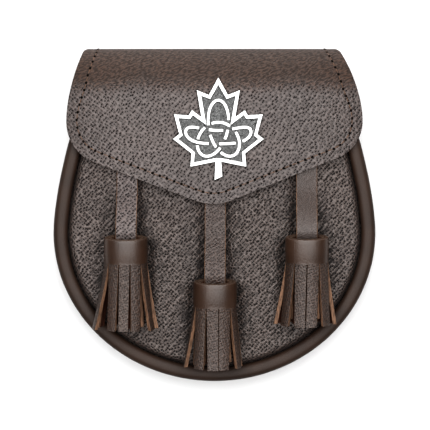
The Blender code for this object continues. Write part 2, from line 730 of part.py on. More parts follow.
def build_strap(side, row, mat):
    """Strap from under the flap, along the front panel and down into the tassel's head."""
    cosine, sine = math.cos(HEAD_TILT), math.sin(HEAD_TILT)
    behind = strap_seat()
    top = flap_lower_y(tassel_x(row)) + STRAP_TUCK
    mouth = tassel_axis_y(row) + behind * sine
    end = mouth - STRAP_GRIP * cosine
    lift_start = mouth + STRAP_LIFT
    lower, upper = [], []
    for i in range(STRAP_ROWS + 1):
        y = top + (end - top) * i / STRAP_ROWS
        along = max((mouth - y) / cosine, -STRAP_HUMP)
        seat = tassel_axis_z(row, 0.0) - along * sine - behind * cosine
        blend = ease((lift_start - y) / (STRAP_LIFT - STRAP_HUMP))
        line = []
        for share in (-0.5, 0.0, 0.5):
            x = tassel_x(row) + row["off"] * (1 - blend) + share * STRAP_WIDTH
            rise = STRAP_GAP + row["cant"] * share + abs(row["cant"]) / 2
            free = seat + STRAP_TWIST * row["cant"] * share * (1 - blend)
            line.append(Vector((x, y, (ground_height(x, y) + rise) * (1 - blend) + free * blend)))
        lower.append(line)
        upper.append([p + Vector((0, 0, STRAP_THICK)) for p in line])
    bm = bmesh.new()
    add_shell(bm, upper, lower)
    return finish("strap_" + side, bm, mat)


def head_columns(row):
    """Points on the head's oval with outward directions: left edge, middle and right edge of each strip."""
    angles = [2 * math.pi * i / FINE for i in range(FINE + 1)]
    oval = [Vector((HEAD_HALF_WIDTH * math.sin(a), HEAD_HALF_DEPTH * math.cos(a))) for a in angles]
    perimeter = sum((b - a).length for a, b in zip(oval, oval[1:]))
    fine = resample(oval, FINE)
    pitch = perimeter / row["strips"]
    columns = []
    for j in range(row["strips"]):
        for part in (-0.5, 0.0, 0.5):
            place = ((j + row["turn"]) * pitch + part * (pitch - STRIP_SLIT)) / perimeter * FINE
            low = math.floor(place)
            p = fine[low % FINE].lerp(fine[(low + 1) % FINE], place - low)
            out = Vector((p.x / HEAD_HALF_WIDTH ** 2, p.y / HEAD_HALF_DEPTH ** 2)).normalized()
            columns.append((p, out))
    return columns


def build_tassel(side, row, mat):
    """Rolled leather head, open at its top, with cut strips that fan out below it. One solid."""
    cosine, sine = math.cos(HEAD_TILT), math.sin(HEAD_TILT)
    columns = head_columns(row)
    count = len(columns)

    def place(flat, along):
        return Vector((tassel_x(row) + flat.x, tassel_axis_y(row) - along * cosine - flat.y * sine,
                       tassel_axis_z(row, along) + flat.y * cosine))

    bm = bmesh.new()

    def ring(depth, along):
        return [bm.verts.new(place(p - out * depth, along)) for p, out in columns]

    def skin(upper, lower):
        for k in range(count):
            bm.faces.new((upper[k], upper[(k + 1) % count], lower[(k + 1) % count], lower[k]))

    rim = ring(HEAD_RIM, 0.0)
    brow = ring(0.0, HEAD_RIM)
    foot = ring(0.0, HEAD_LENGTH)
    hole_top = ring(HEAD_WALL, 0.0)
    hole_foot = ring(HEAD_WALL, HEAD_LENGTH)
    strip_root = ring(STRIP_THICK, HEAD_LENGTH)
    loops = (strip_root, hole_foot, hole_top, rim, brow, foot)
    for upper, lower in zip(loops, loops[1:]):
        skin(upper, lower)
    for j in range(row["strips"]):
        right, next_left = 3 * j + 2, (3 * j + 3) % count
        bm.faces.new((foot[right], foot[next_left], strip_root[next_left], strip_root[right]))
        middle = columns[3 * j + 1][0]
        outer_above = [foot[3 * j + n] for n in range(3)]
        inner_above = [strip_root[3 * j + n] for n in range(3)]
        for i in range(1, STRIP_ROWS + 1):
            share = i / STRIP_ROWS
            along = HEAD_LENGTH + (row["length"] / cosine - HEAD_LENGTH) * share
            shift = Vector((
                row["flare"] * spread(middle.x) * share ** STRIP_SPREAD_POWER + row["lean"] * share,
                max(middle.y, 0.0) * STRIP_SWELL * share,
            ))
            outer = [place(p + shift, along) for p, _ in columns[3 * j:3 * j + 3]]
            inner = [place(p - out * STRIP_THICK + shift, along) for p, out in columns[3 * j:3 * j + 3]]
            sunk = min(p.z - ground_height(p.x, p.y) for p in outer + inner) - TASSEL_CLEARANCE
            rise = Vector((0, 0, max(-sunk, 0.0)))
            outer = [bm.verts.new(p + rise) for p in outer]
            inner = [bm.verts.new(p + rise) for p in inner]
            for n in (0, 1):
                bm.faces.new((outer_above[n], outer_above[n + 1], outer[n + 1], outer[n]))
                bm.faces.new((inner_above[n + 1], inner_above[n], inner[n], inner[n + 1]))
            for n in (0, 2):
                bm.faces.new((outer_above[n], outer[n], inner[n], inner_above[n]))
            outer_above, inner_above = outer, inner
        for n in (0, 1):
            bm.faces.new((outer_above[n], outer_above[n + 1], inner_above[n + 1], inner_above[n]))
    return finish("tassel_" + side, bm, mat)


def build_strap_carrier(mat):
    """Band across the back for the belt strap, sewn along its upper and lower edges and open at both ends."""
    low = CARRIER_THICK / 2
    high = DISH_DEPTH - GAP - CARRIER_THICK / 2
    half = CARRIER_FLAT / 2
    stations = ((half, low), (half + CARRIER_RAMP, high), (half + CARRIER_RAMP + CARRIER_FLANGE, high))
    path = [Vector((CARRIER_Y - y, z)) for y, z in reversed(stations)]
    path += [Vector((CARRIER_Y + y, z)) for y, z in stations]
    section = wall_section(path, CARRIER_THICK)
    bm = bmesh.new()
    add_sweep(bm, [[(x, p.x, p.y) for p in section] for x in (-CARRIER_HALF_LENGTH, CARRIER_HALF_LENGTH)])
    return finish("strap_carrier", bm, mat)


def build_closure_stud(mat):
    """Flat round stud that holds the flap shut."""
    low = front_height(0.0, STUD_Y) + GAP
    high = flap_height(STUD_RADIUS) - FLAP_THICK - GAP
    ring = arc((0.0, STUD_Y), STUD_RADIUS, 0.0, 2 * math.pi, STUD_SIDES)[:-1]
    bm = bmesh.new()
    add_sweep(bm, [[(p.x, p.y, z) for p in ring] for z in (low, high)])
    return finish("closure_stud", bm, mat)


def main():
    """Clear the scene and build every piece."""
    for obj in list(bpy.data.objects):
        bpy.data.objects.remove(obj, do_unlink=True)
    grained = material("grained_leather", (0.105, 0.080, 0.068), 0.50)
    smooth = material("smooth_leather", (0.085, 0.060, 0.048), 0.38)
    pewter = material("pewter", (0.62, 0.62, 0.61), 0.35, 1.0)
    build_front_panel(grained)
    build_back_panel(grained)
    build_gusset(grained)
    build_roll(smooth)
    build_flap(grained)
    build_badge(pewter)
    for side, row in TASSELS.items():
        build_strap(side, row, grained)
        build_tassel(side, row, smooth)
    build_strap_carrier(smooth)
    build_closure_stud(pewter)


main()
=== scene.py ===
"""Sporran pouch lying on its back, dressed in leather, thread and cast pewter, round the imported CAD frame."""

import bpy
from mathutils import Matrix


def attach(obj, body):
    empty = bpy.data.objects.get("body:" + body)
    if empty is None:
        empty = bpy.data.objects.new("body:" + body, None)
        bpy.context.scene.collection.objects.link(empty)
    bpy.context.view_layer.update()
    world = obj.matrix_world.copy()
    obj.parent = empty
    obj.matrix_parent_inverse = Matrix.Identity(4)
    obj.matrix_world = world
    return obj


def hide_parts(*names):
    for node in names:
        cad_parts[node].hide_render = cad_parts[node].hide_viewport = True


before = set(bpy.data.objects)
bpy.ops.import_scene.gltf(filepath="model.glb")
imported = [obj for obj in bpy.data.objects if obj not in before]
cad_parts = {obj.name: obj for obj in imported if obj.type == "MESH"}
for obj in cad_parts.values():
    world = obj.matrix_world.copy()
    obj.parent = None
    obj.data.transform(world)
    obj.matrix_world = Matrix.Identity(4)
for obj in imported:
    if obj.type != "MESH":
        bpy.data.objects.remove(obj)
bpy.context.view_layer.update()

import math
import random

import bmesh
import bpy
from bpy.props import FloatProperty, FloatVectorProperty, IntProperty, PointerProperty
from mathutils import Vector, noise

bl_info = {
    "name": "Sporran pouch",
    "version": (1, 0, 0),
    "blender": (4, 5, 0),
    "location": "View3D > Sidebar > Sporran",
    "description": "Dresses the pouch, flap, badge, straps and tassels of a day sporran",
    "category": "Object",
}

# Sizes of the pouch, as in the part's source, in metres. FINE is the number of steps of a fine outline
GAP = 0.0003
FINE = 400
LEATHER = 0.0020
POUCH_HALF_WIDTH = 0.092
WIDEST_Y = -0.010
POUCH_DROP = 0.085
MOUTH_RISE = 0.087
MOUTH_NARROWING = 0.0200
NARROWING_POWER = 1.6
MOUTH_Y = WIDEST_Y + MOUTH_RISE
ROLL_RADIUS = 0.00415
ROLL_Z = 0.0280
GUSSET_INSET = 0.0025
FRONT_FLANGE = 0.0110
BACK_FLANGE = 0.0090
FRONT_BEND = 0.0017
BACK_BEND = 0.0019
FLANGE_FACE_Z = ROLL_Z - ROLL_RADIUS - GAP
PANEL_INSET = 2 * ROLL_RADIUS + GAP
PANEL_RIM_Z = FLANGE_FACE_Z + GAP
SHOULDER_WIDTH = 0.0050
SHOULDER_RISE = 0.00975
SHOULDER_POWER = 2.8
CROWN = 0.0046
CROWN_TOP_Z = PANEL_RIM_Z + SHOULDER_RISE + CROWN
BACK_INSET = 0.0009
DISH_DEPTH = 0.0068
DISH_START = 0.0130
DISH_WIDTH = 0.0220

# Flap
FLAP_THICK = 0.0022
FLAP_HALF_WIDTH = 0.0845
FLAP_WIDEST_Y = 0.054
FLAP_TOP_Y = 0.095
FLAP_NARROWING = 0.0119
FLAP_SIDE_POWER = 1.75
FLAP_CORNER = 0.0238
FLAP_TIP_Y = 0.0062
FLAP_TIP_RADIUS = 0.0285
FLAP_EDGE_SLOPE = 0.39
FLAP_LEAN = -0.0017
FLAP_TILT = 0.026
FOLD_REACH = 0.018
TAIL_LENGTH = 0.017
FOLD_CORNER = 0.0022
TAIL_NARROWING = 0.0010
FLAP_ARCH_POWER = 3.6
FOLD_Y = FLAP_TOP_Y - FOLD_REACH
TAIL_Y = FOLD_Y - TAIL_LENGTH
TAIL_LIFT = FLAP_THICK + GAP
LIFT_START = 0.020
LIFT_END = 0.008

# Straps and tassels
STRAP_WIDTH = 0.012
STRAP_THICK = 0.0018
STRAP_GAP = 0.00035
STRAP_TUCK = 0.016
STRAP_LIFT = 0.030
STRAP_TWIST = 6.0
STRAP_HUMP = 0.002
STRAP_GRIP = 0.009
HEAD_HALF_WIDTH = 0.01225
HEAD_HALF_DEPTH = 0.0085
HEAD_LENGTH = 0.0141
HEAD_WALL = 0.0040
HEAD_RIM = 0.0007
HEAD_TILT = math.radians(14)
STRIP_THICK = 0.0022
STRIP_SLIT = 0.0004
STRIP_SPREAD = 0.60
STRIP_SPREAD_POWER = 1.2
STRIP_FLARE_POWER = 3.0
STRIP_SWELL = 0.12
STRIP_SETTLE = 0.0030
TASSEL_CLEARANCE = 0.0005
HEAD_DENT = 0.0012
HEAD_DENT_RADIUS = 0.014
TASSELS = {
    "left": {
        "across": -0.547, "top": -0.0149, "length": 0.0517, "lean": -0.0003,
        "off": 0.0006, "cant": 0.0012, "strips": 10, "turn": -0.12, "flare": 1.05,
    },
    "centre": {
        "across": 0.003, "top": -0.0399, "length": 0.0487, "lean": -0.0003,
        "off": 0.0002, "cant": 0.0, "strips": 9, "turn": -0.20, "flare": 0.72,
    },
    "right": {
        "across": 0.571, "top": -0.0146, "length": 0.0497, "lean": -0.0005,
        "off": 0.0, "cant": -0.0012, "strips": 9, "turn": -0.50, "flare": 0.80,
    },
}

# Strap carrier, badge
CARRIER_HALF_LENGTH = 0.040
CARRIER_Y = 0.030
CARRIER_THICK = 0.0018
CARRIER_FLAT = 0.030
CARRIER_RAMP = 0.005
CARRIER_FLANGE = 0.007
BADGE_X = 0.0022
BADGE_Y = 0.0489
LEAF_HALF_WIDTH = 0.0263
LEAF_HALF_HEIGHT = 0.0295
BADGE_PLATE = 0.0013
BADGE_THICK = 0.0023
BADGE_RIM = 0.0023
KNOT_WIDTH = 0.0021
KNOT_RISE = 0.0009
KNOT_GAP = 0.0006
STRAND_POINTS = 360
KNOT_HALF_WIDTH = LEAF_HALF_WIDTH * 0.50
KNOT_HEIGHT = LEAF_HALF_HEIGHT * 0.64
KNOT_MIDDLE_Y = LEAF_HALF_HEIGHT * -0.09
RING_HALF_WIDTH = LEAF_HALF_WIDTH * 0.707
RING_WAIST = LEAF_HALF_HEIGHT * 0.129
RING_MIDDLE_Y = LEAF_HALF_HEIGHT * -0.163
RING_LIFT = LEAF_HALF_HEIGHT * 0.102
POST_RADIUS = 0.0012
POST_SPACING = 0.028
POST_END = 0.0005
LEAF = (
    ("top tip", 0.000, 1.000),
    ("top notch", 0.211, 0.656),
    ("upper tip", 0.475, 0.751),
    ("deep notch", 0.373, 0.235),
    ("small tip", 0.576, 0.369),
    ("small notch", 0.646, 0.261),
    ("side tip", 0.970, 0.283),
    ("side notch", 0.854, -0.102),
    ("lower side tip", 1.000, -0.197),
    ("lower notch", 0.589, -0.478),
    ("bottom tip", 0.616, -0.742),
    ("stem root", 0.070, -0.641),
)
STEM_END = ((0.099, -0.922), (-0.091, -1.000))

# How finely pieces are divided: stations round the outline, steps of a bend, and the flap's columns and rows
PANEL_STATIONS = 440
BACK_STATIONS = 200
GUSSET_STATIONS = 220
ROLL_STATIONS = 300
SEAM_STATIONS = 300
BEND_STEPS = 6
FLAP_STEPS = (120, 8, 44, 72)

# Angles in degrees from which an edge shows as sharp, on cut leather and on cast metal
CUT_SHARP = 50.0
CAST_SHARP = 40.0

# Finer shapes of the scene: the roll's section and waves, the valleys and crease lines beside the straps (their
# clefts darkened with painted shade)
ROLL_FLATNESS = 0.8
ROLL_UNEVENNESS = 0.012
ROLL_WAVES = 60
ROLL_TRIM = 0.008
TROUGH_DEPTH = 0.0024
TROUGH_REACH = 0.0032
TROUGH_FADE = 8
CREASE_REACH = 0.0085
CREASE_START = 0.020

# The straps' grains, and the places of their columns of points as shares of the width
STRAP_GRAINS = {"left": "strap_grain", "centre": "strap_soft", "right": "strap_fine"}
STRAP_COLUMNS = (-0.5, -0.47, -0.4, -0.2, 0.0, 0.2, 0.4, 0.47, 0.5)

# The tassels' strips: twist outwards, taper, and how much they differ by chance in turn, sway and length
FLARE_TWIST = 0.25
STRIP_TAPER = 0.09
STRIP_TURN = 0.12
STRIP_SWAY = 0.0006
STRIP_SHORTER = 0.0006
HEAD_BULGE = 0.00025
HEAD_RIM_TURNS = (0.0, 0.4, 0.8, 1.2, math.pi / 2)

# Rings over a head's top, as depth from its outer face and distance below its top: two turns of the leather
HEAD_TOP = (
    (HEAD_WALL, HEAD_RIM), (HEAD_WALL - 0.0002, 0.0002), (HEAD_WALL - 0.0006, 0.0),
    (HEAD_WALL / 2 + 0.00025, 0.0), (HEAD_WALL / 2, 0.0006), (HEAD_WALL / 2 - 0.00025, 0.0),
)

# The inner turn of strips, how far they end above the outer ones, and the lift of a strip pressed too thin
INNER_STRIPS = 9
INNER_WIDTH = 0.0042
INNER_THICK = 0.0017
INNER_DEPTH = 0.0043
INNER_TUCK = 0.004
INNER_SHORTER = (0.0010, 0.0045)
INNER_SPREAD = 1.6
INNER_SEED = 50
INNER_LEAST = INNER_THICK * 0.5
INNER_LIFT = INNER_THICK * 0.6

# Seams: distances from the edges, how much further in the flap's runs at the fold, and the sizes of a stitch
SEAM_DRIFT = 0.0019
BACK_SEAM_INSET = 0.0065
BACK_SEAM_END = 0.004
CARRIER_SEAM_END = 0.003
SLOPE_STEP = 0.0005
STITCH_SIZES = {
    "Pitch": 0.0044, "Thread Radius": 0.00026, "Rise": 0.00012, "Dip": 0.00060, "Hole Radius": 0.00082,
}
HOLE_SHAPE = (1.0, 0.9, 0.40)
# Colour of the needle holes: near-black painted shade.
HOLE_SHADE_COLOUR = (0.004, 0.003, 0.002, 1.0)

# Widths of the rounded edges
FLAP_ROUNDING = 0.0008
STRAP_ROUNDING = 0.00035
TASSEL_ROUNDING = 0.00022
CARRIER_ROUNDING = 0.0004

# Sections of the badge: steps inwards and down over its rounded rim, and a strand in half widths and rises
RIM_STEPS = ((0.0, 0.00045), (0.00008, 0.00022), (0.00024, 0.00007), (0.00050, 0.0))
RIM_DRAFT = 0.00005
STRAND_SECTION = (
    (-1.0, -0.3), (-0.97, 0.45), (-0.78, 0.86), (-0.40, 1.0),
    (0.40, 1.0), (0.78, 0.86), (0.97, 0.45), (1.0, -0.3),
)
STRAND_STEP = 0.0005
STRAND_END_RISE = 0.80

# Camera, floor and lights. The camera's frame is as wide as the photograph's. power names a light's setting.
PHOTO_WIDTH_M = 0.2457
PHOTO_CENTRE = (0.0003, -0.0001)
CAMERA_DISTANCE = 3.0
SENSOR = 36.0
FLOOR_Z = -0.0004
FLOOR_SHADE = 0.62
LIGHTS = {
    "overhead": {"place": (0.0, 0.10, 1.0), "aim": (0.0, 0.0, 0.0), "size": 1.5, "power": "overhead_power"},
    "upper": {"place": (0.0, 1.1, 0.14), "aim": (0.0, 0.05, 0.03), "size": 0.4, "power": "top_power"},
}


def ease(t):
    """Smooth step from 0 to 1."""
    t = min(max(t, 0.0), 1.0)
    return t * t * (3 - 2 * t)


def resample(points, steps):
    """Points at equal distances along a polyline, both ends included."""
    lengths = [0.0]
    for a, b in zip(points, points[1:]):
        lengths.append(lengths[-1] + (b - a).length)
    result = []
    k = 0
    for i in range(steps + 1):
        target = lengths[-1] * i / steps
        while k < len(points) - 2 and lengths[k + 1] < target:
            k += 1
        share = (target - lengths[k]) / (lengths[k + 1] - lengths[k])
        result.append(points[k].lerp(points[k + 1], share))
    return result


def arc(centre, radius, start, end, steps):
    """Points on an arc, angles in radians, both ends included."""
    angles = [start + (end - start) * i / steps for i in range(steps + 1)]
    return [Vector((centre[0] + radius * math.cos(a), centre[1] + radius * math.sin(a))) for a in angles]


def spoke(x, y):
    """The outline's point on the spoke through (x, y), the outward normal there and the spoke's inner end."""
    side = 1.0 if x >= 0 else -1.0
    if y >= WIDEST_Y:
        share = (y - WIDEST_Y) / MOUTH_RISE
        half = POUCH_HALF_WIDTH - MOUTH_NARROWING * share ** NARROWING_POWER
        slope = MOUTH_NARROWING / MOUTH_RISE * NARROWING_POWER * share ** (NARROWING_POWER - 1)
        return Vector((side * half, y)), Vector((side, slope)).normalized(), Vector((0.0, y))
    reach = math.hypot(x / POUCH_HALF_WIDTH, (y - WIDEST_Y) / POUCH_DROP)
    edge = Vector((x / reach, WIDEST_Y + (y - WIDEST_Y) / reach))
    normal = Vector((edge.x / POUCH_HALF_WIDTH ** 2, (edge.y - WIDEST_Y) / POUCH_DROP ** 2)).normalized()
    return edge, normal, Vector((0.0, WIDEST_Y))


def depth_of_spoke(x, y):
    """How far (x, y) lies inside the outline, and how far the spoke's inner end does."""
    edge, normal, hub = spoke(x, y)
    lean = (edge - hub).normalized().dot(normal)
    return (edge - Vector((x, y))).dot((edge - hub).normalized()) * lean, (edge - hub).length * lean


def on_spoke(point, inset):
    """The point of a spoke that lies this far inside the outline."""
    edge, normal, hub = spoke(point.x, point.y)
    lean = (edge - hub).normalized().dot(normal)
    return edge.lerp(hub, min(inset / ((edge - hub).length * lean), 1.0))


def outline(steps):
    """Equally spaced points from the right mouth corner round the bottom to the left mouth corner."""
    side = [spoke(1.0, MOUTH_Y - MOUTH_RISE * i / FINE)[0] for i in range(FINE + 1)]
    round_bottom = [
        Vector((POUCH_HALF_WIDTH * math.cos(a), WIDEST_Y - POUCH_DROP * math.sin(a)))
        for a in (math.pi / 2 * i / FINE for i in range(1, FINE + 1))
    ]
    right = resample(side + round_bottom, steps // 2)
    right[-1].x = 0.0
    return right + [Vector((-p.x, p.y)) for p in reversed(right[:-1])]


def tassel_x(row):
    """Middle of a tassel's head."""
    return row["across"] * POUCH_HALF_WIDTH


def dents(x, y):
    """How deep the tassels' heads press the front panel here."""
    total = 0.0
    for row in TASSELS.values():
        middle = row["top"] - HEAD_LENGTH / 2
        total += HEAD_DENT * math.exp(-((x - tassel_x(row)) ** 2 + (y - middle) ** 2) / HEAD_DENT_RADIUS ** 2)
    return total


def shoulder_rise(t):
    """The front panel's height on its shoulder, as a share, at this share of the shoulder's width."""
    return (1 - (1 - t) ** SHOULDER_POWER) ** (1 / SHOULDER_POWER)


def front_height(x, y):
    """Height of the front panel's outer face."""
    inset, length = depth_of_spoke(x, y)
    shoulder_end = PANEL_INSET + SHOULDER_WIDTH
    rise = shoulder_rise(min(max((inset - PANEL_INSET) / SHOULDER_WIDTH, 0.0), 1.0))
    k = min(max((inset - shoulder_end) / (length - shoulder_end), 0.0), 1.0)
    return PANEL_RIM_Z + SHOULDER_RISE * rise + CROWN * (1 - (1 - k) ** 2) - dents(x, y) * rise


def beside_straps(x, y, reach, both_sides):
    """1 at the edges of straps and tassels, less with distance, on both sides or only where a strap leans."""
    total = 0.0
    for row in TASSELS.values():
        for side in (-1, 1):
            if not both_sides and row["cant"] * side < 0:
                continue
            head = ease((row["top"] + 0.004 - y) / 0.008)
            middle = tassel_x(row) + side * (STRAP_WIDTH / 2 + (HEAD_HALF_WIDTH - STRAP_WIDTH / 2) * head)
            past = (x - middle) * side
            width = reach if past > 0 else reach * 1.6
            fade = ease((y - row["top"] + row["length"] - 0.006) / 0.015)
            total = max(total, math.exp(-(past / width) ** 2) * fade)
    return total


def ground_height(x, y):
    """Height of what a tassel or strap lies on: the front panel or the roll round it."""
    return max(front_height(x, y), ROLL_Z + ROLL_RADIUS)


def back_lift(y):
    """How far the back panel's rim rises to make room for the flap's tail."""
    return TAIL_LIFT * ease((y - TAIL_Y + LIFT_START) / (LIFT_START - LIFT_END))


def back_height(x, y):
    """Height of the back panel's outer face."""
    dish = ease((depth_of_spoke(x, y)[0] - DISH_START) / DISH_WIDTH)
    return DISH_DEPTH * dish + back_lift(y) * (1 - dish)


def flap_height(x):
    """Height of the flap's outer face over the front: an arch from roll to roll."""
    side = ROLL_Z + ROLL_RADIUS + GAP + FLAP_THICK
    middle = CROWN_TOP_Z + STRAP_GAP + STRAP_THICK + 2 * GAP + FLAP_THICK
    return side + (middle - side) * (1 - min(abs(x) / FLAP_HALF_WIDTH, 1.0) ** FLAP_ARCH_POWER)


def flap_slant(y):
    """Half width of the flap above its widest line, its upper corners left square."""
    share = max(y - FLAP_WIDEST_Y, 0.0) / (FLAP_TOP_Y - FLAP_WIDEST_Y)
    return FLAP_HALF_WIDTH - FLAP_NARROWING * share ** FLAP_SIDE_POWER


def flap_side(y):
    """Half width of the flap above its widest line, up to its rounded corners at the top of the fold."""
    past = max(y - FLAP_TOP_Y + FOLD_CORNER, 0.0)
    return flap_slant(y) - FOLD_CORNER + math.sqrt(FOLD_CORNER ** 2 - past ** 2)


def settled(point):
    """Where a point of the flap's even plan lies on the real flap, which leans and hangs a little askew."""
    up = max(point.y - FLAP_WIDEST_Y, 0.0) / (FLAP_TOP_Y - FLAP_WIDEST_Y)
    down = max(FLAP_WIDEST_Y - point.y, 0.0) / (FLAP_WIDEST_Y - FLAP_TIP_Y)
    return Vector((point.x + FLAP_LEAN * up ** 2, point.y + FLAP_TILT * point.x * down))


def flap_edge_line(x):
    """Height on the pouch of the straight line that the flap's lower edge follows."""
    lean = math.atan(FLAP_EDGE_SLOPE)
    return FLAP_TIP_Y - FLAP_TIP_RADIUS * (1 / math.cos(lean) - 1) + FLAP_EDGE_SLOPE * x


def flap_edges():
    """The flap's right side and right lower edge, which meet halfway round its lower corner."""
    lean = math.atan(FLAP_EDGE_SLOPE)
    corner_x = FLAP_HALF_WIDTH - FLAP_CORNER
    corner = (corner_x, flap_edge_line(corner_x) + FLAP_CORNER / math.cos(lean))
    turn = lean - math.pi / 2
    tip = (0.0, FLAP_TIP_Y + FLAP_TIP_RADIUS)
    side = [
        Vector((flap_side(y), y))
        for y in (FOLD_Y + (FLAP_WIDEST_Y - FOLD_Y) * i / FINE for i in range(FINE + 1))
    ]
    side += arc(corner, FLAP_CORNER, 0.0, turn / 2, FINE)
    lower = arc(corner, FLAP_CORNER, turn / 2, turn, FINE)
    lower += arc(tip, FLAP_TIP_RADIUS, turn, -math.pi / 2, FINE)
    return side, lower


def flap_lower_y(x):
    """Height on the pouch of the flap's lower edge, away from its corners."""
    return max(FLAP_TIP_Y, flap_edge_line(abs(x)))


def spread(x):
    """How far a strip's foot stands out to the side of its root at this distance from the middle."""
    return x * STRIP_SPREAD * (abs(x) / HEAD_HALF_WIDTH) ** STRIP_FLARE_POWER


def tassel_axis_y(row):
    """Where a tassel's middle line starts: its tilted head shows its front rim this much lower."""
    return row["top"] + HEAD_HALF_DEPTH * math.sin(HEAD_TILT)


def tassel_axis_z(row, along):
    """Height of a tassel's middle line at this distance below the top of its head."""
    head_foot = tassel_axis_y(row) - HEAD_LENGTH * math.cos(HEAD_TILT)
    seat = ground_height(tassel_x(row), head_foot) + TASSEL_CLEARANCE + HEAD_HALF_DEPTH
    if along <= HEAD_LENGTH:
        return seat + (HEAD_LENGTH - along) * math.sin(HEAD_TILT)
    share = (along - HEAD_LENGTH) / (row["length"] - HEAD_LENGTH)
    return seat - STRIP_SETTLE * math.sin(share * math.pi / 2)


def tassel_place(row, flat, along):
    """Where a point of a tassel's cross section lies, at this distance below the top of its head."""
    cosine, sine = math.cos(HEAD_TILT), math.sin(HEAD_TILT)
    return Vector((tassel_x(row) + flat.x, tassel_axis_y(row) - along * cosine - flat.y * sine,
                   tassel_axis_z(row, along) + flat.y * cosine))


def turned_by(point, angle):
    """A point or direction of the plane, turned about the origin."""
    cosine, sine = math.cos(angle), math.sin(angle)
    return Vector((point.x * cosine - point.y * sine, point.x * sine + point.y * cosine))


def strap_seat():
    """How far behind the head's middle line a strap's lower face lies, clear of the round hole."""
    across = HEAD_HALF_WIDTH - HEAD_WALL
    deep = HEAD_HALF_DEPTH - HEAD_WALL
    return deep * math.sqrt(1 - (STRAP_WIDTH / 2 / across) ** 2) - TASSEL_CLEARANCE


# Materials

# The attribute that holds each leather vertex's place on the flat, uncut hide, and how much it is creased
# there, its clefts darkened with painted shade
GRAIN_MAP = "grain_map"

# Pores: how far their pattern drifts in metres, their shape along and across the rows, and how close rows are
PORE_WANDER = 0.0006
PORE_STRETCH = (0.70, 1.30, 0.0)
PORE_ROW_SQUEEZE = 0.88


def add_node(tree, kind, inputs=None, **settings):
    """A node with its settings, and its inputs linked or set."""
    node = tree.nodes.new(kind)
    for key, value in settings.items():
        setattr(node, key, value)
    for key, value in (inputs or {}).items():
        if isinstance(value, bpy.types.NodeSocket):
            tree.links.new(value, node.inputs[key])
        else:
            node.inputs[key].default_value = value
    return node


def calculate(tree, operation, *values):
    """One Math node's result."""
    return add_node(tree, "ShaderNodeMath", dict(enumerate(values)), operation=operation).outputs[0]


def calculate_vector(tree, operation, *values):
    """One Vector Math node's vector."""
    return add_node(tree, "ShaderNodeVectorMath", dict(enumerate(values)), operation=operation).outputs[0]


def remap(tree, value, low, high, out_low=0.0, out_high=1.0, smooth=True):
    """A value moved from one range to another, clamped."""
    node = add_node(tree, "ShaderNodeMapRange", {
        "Value": value, "From Min": low, "From Max": high, "To Min": out_low, "To Max": out_high,
    }, interpolation_type="SMOOTHSTEP" if smooth else "LINEAR")
    return node.outputs[0]


def blend_colour(tree, factor, first, second, mode="MIX"):
    """Two colours mixed by a factor."""
    node = add_node(tree, "ShaderNodeMix", data_type="RGBA", blend_type=mode)
    for index, value in ((0, factor), (6, first), (7, second)):
        if isinstance(value, bpy.types.NodeSocket):
            tree.links.new(value, node.inputs[index])
        elif index:
            node.inputs[index].default_value = (*value[:3], 1.0)
        else:
            node.inputs[index].default_value = value
    return node.outputs[2]


def plain_shader(name, roughness=0.5, metallic=0.0, specular=0.5):
    """A material, its tree and its Principled shader with the sockets that are the same all over."""
    mat = bpy.data.materials.new(name)
    mat.use_nodes = True
    shader = mat.node_tree.nodes["Principled BSDF"]
    shader.inputs["Roughness"].default_value = roughness
    shader.inputs["Metallic"].default_value = metallic
    shader.inputs["Specular IOR Level"].default_value = specular
    return mat, mat.node_tree, shader


def turned(tree, place, degrees, along, across):
    """The hide's map turned, so that a pattern runs at this angle, and scaled along and across it."""
    return add_node(tree, "ShaderNodeMapping", {
        "Vector": place, "Rotation": (0.0, 0.0, math.radians(degrees)), "Scale": (1 / along, 1 / across, 1.0),
    }, vector_type="TEXTURE").outputs[0]


def noise_2d(tree, place, scale, detail=2.0, roughness=0.5, output="Fac"):
    """A noise pattern on the hide."""
    inputs = {"Vector": place, "Scale": scale, "Detail": detail, "Roughness": roughness}
    return add_node(tree, "ShaderNodeTexNoise", inputs, noise_dimensions="2D").outputs[output]


def noise_3d(tree, place, scale, detail):
    """A noise pattern in space."""
    inputs = {"Vector": place, "Scale": scale, "Detail": detail}
    return add_node(tree, "ShaderNodeTexNoise", inputs).outputs["Fac"]


def own_place(tree):
    """A point's place on the object."""
    return add_node(tree, "ShaderNodeTexCoord").outputs["Object"]


def hide_place(tree):
    """A point's place on the flat hide."""
    return add_node(tree, "ShaderNodeAttribute", attribute_name=GRAIN_MAP).outputs["Vector"]


def add_bump(tree, shader, height, strength=1.0, distance=0.0004):
    """Bumps on the shader's surface."""
    bump = add_node(tree, "ShaderNodeBump", {"Strength": strength, "Distance": distance, "Height": height})
    tree.links.new(bump.outputs[0], shader.inputs["Normal"])


def scaled(colour, share):
    """A colour made lighter or darker."""
    return [c * share for c in colour]


def pores(tree, place, spacing, reach, sizes):
    """The pits, 1 in the middle of each pore, and the crowns, 1 on the leather between the pores: raised in the
    bump and lightened in the colour as painted highlight.
    """
    cells = add_node(tree, "ShaderNodeTexVoronoi", {
        "Vector": place, "Scale": 1.0 / spacing, "Randomness": 0.6}, voronoi_dimensions="2D").outputs
    offset = calculate_vector(tree, "SUBTRACT", place, cells["Position"])
    offset = calculate_vector(tree, "MULTIPLY", offset, PORE_STRETCH)
    distance = add_node(tree, "ShaderNodeVectorMath", {0: offset}, operation="LENGTH").outputs["Value"]
    radius = remap(tree, sizes, 0.3, 0.7, reach * spacing * 0.6, reach * spacing * 1.3)
    pit = remap(tree, calculate(tree, "DIVIDE", distance, radius), 0.5, 1.3, 1.0, 0.0)
    return pit, remap(tree, cells["Distance"], 0.32, 0.60)


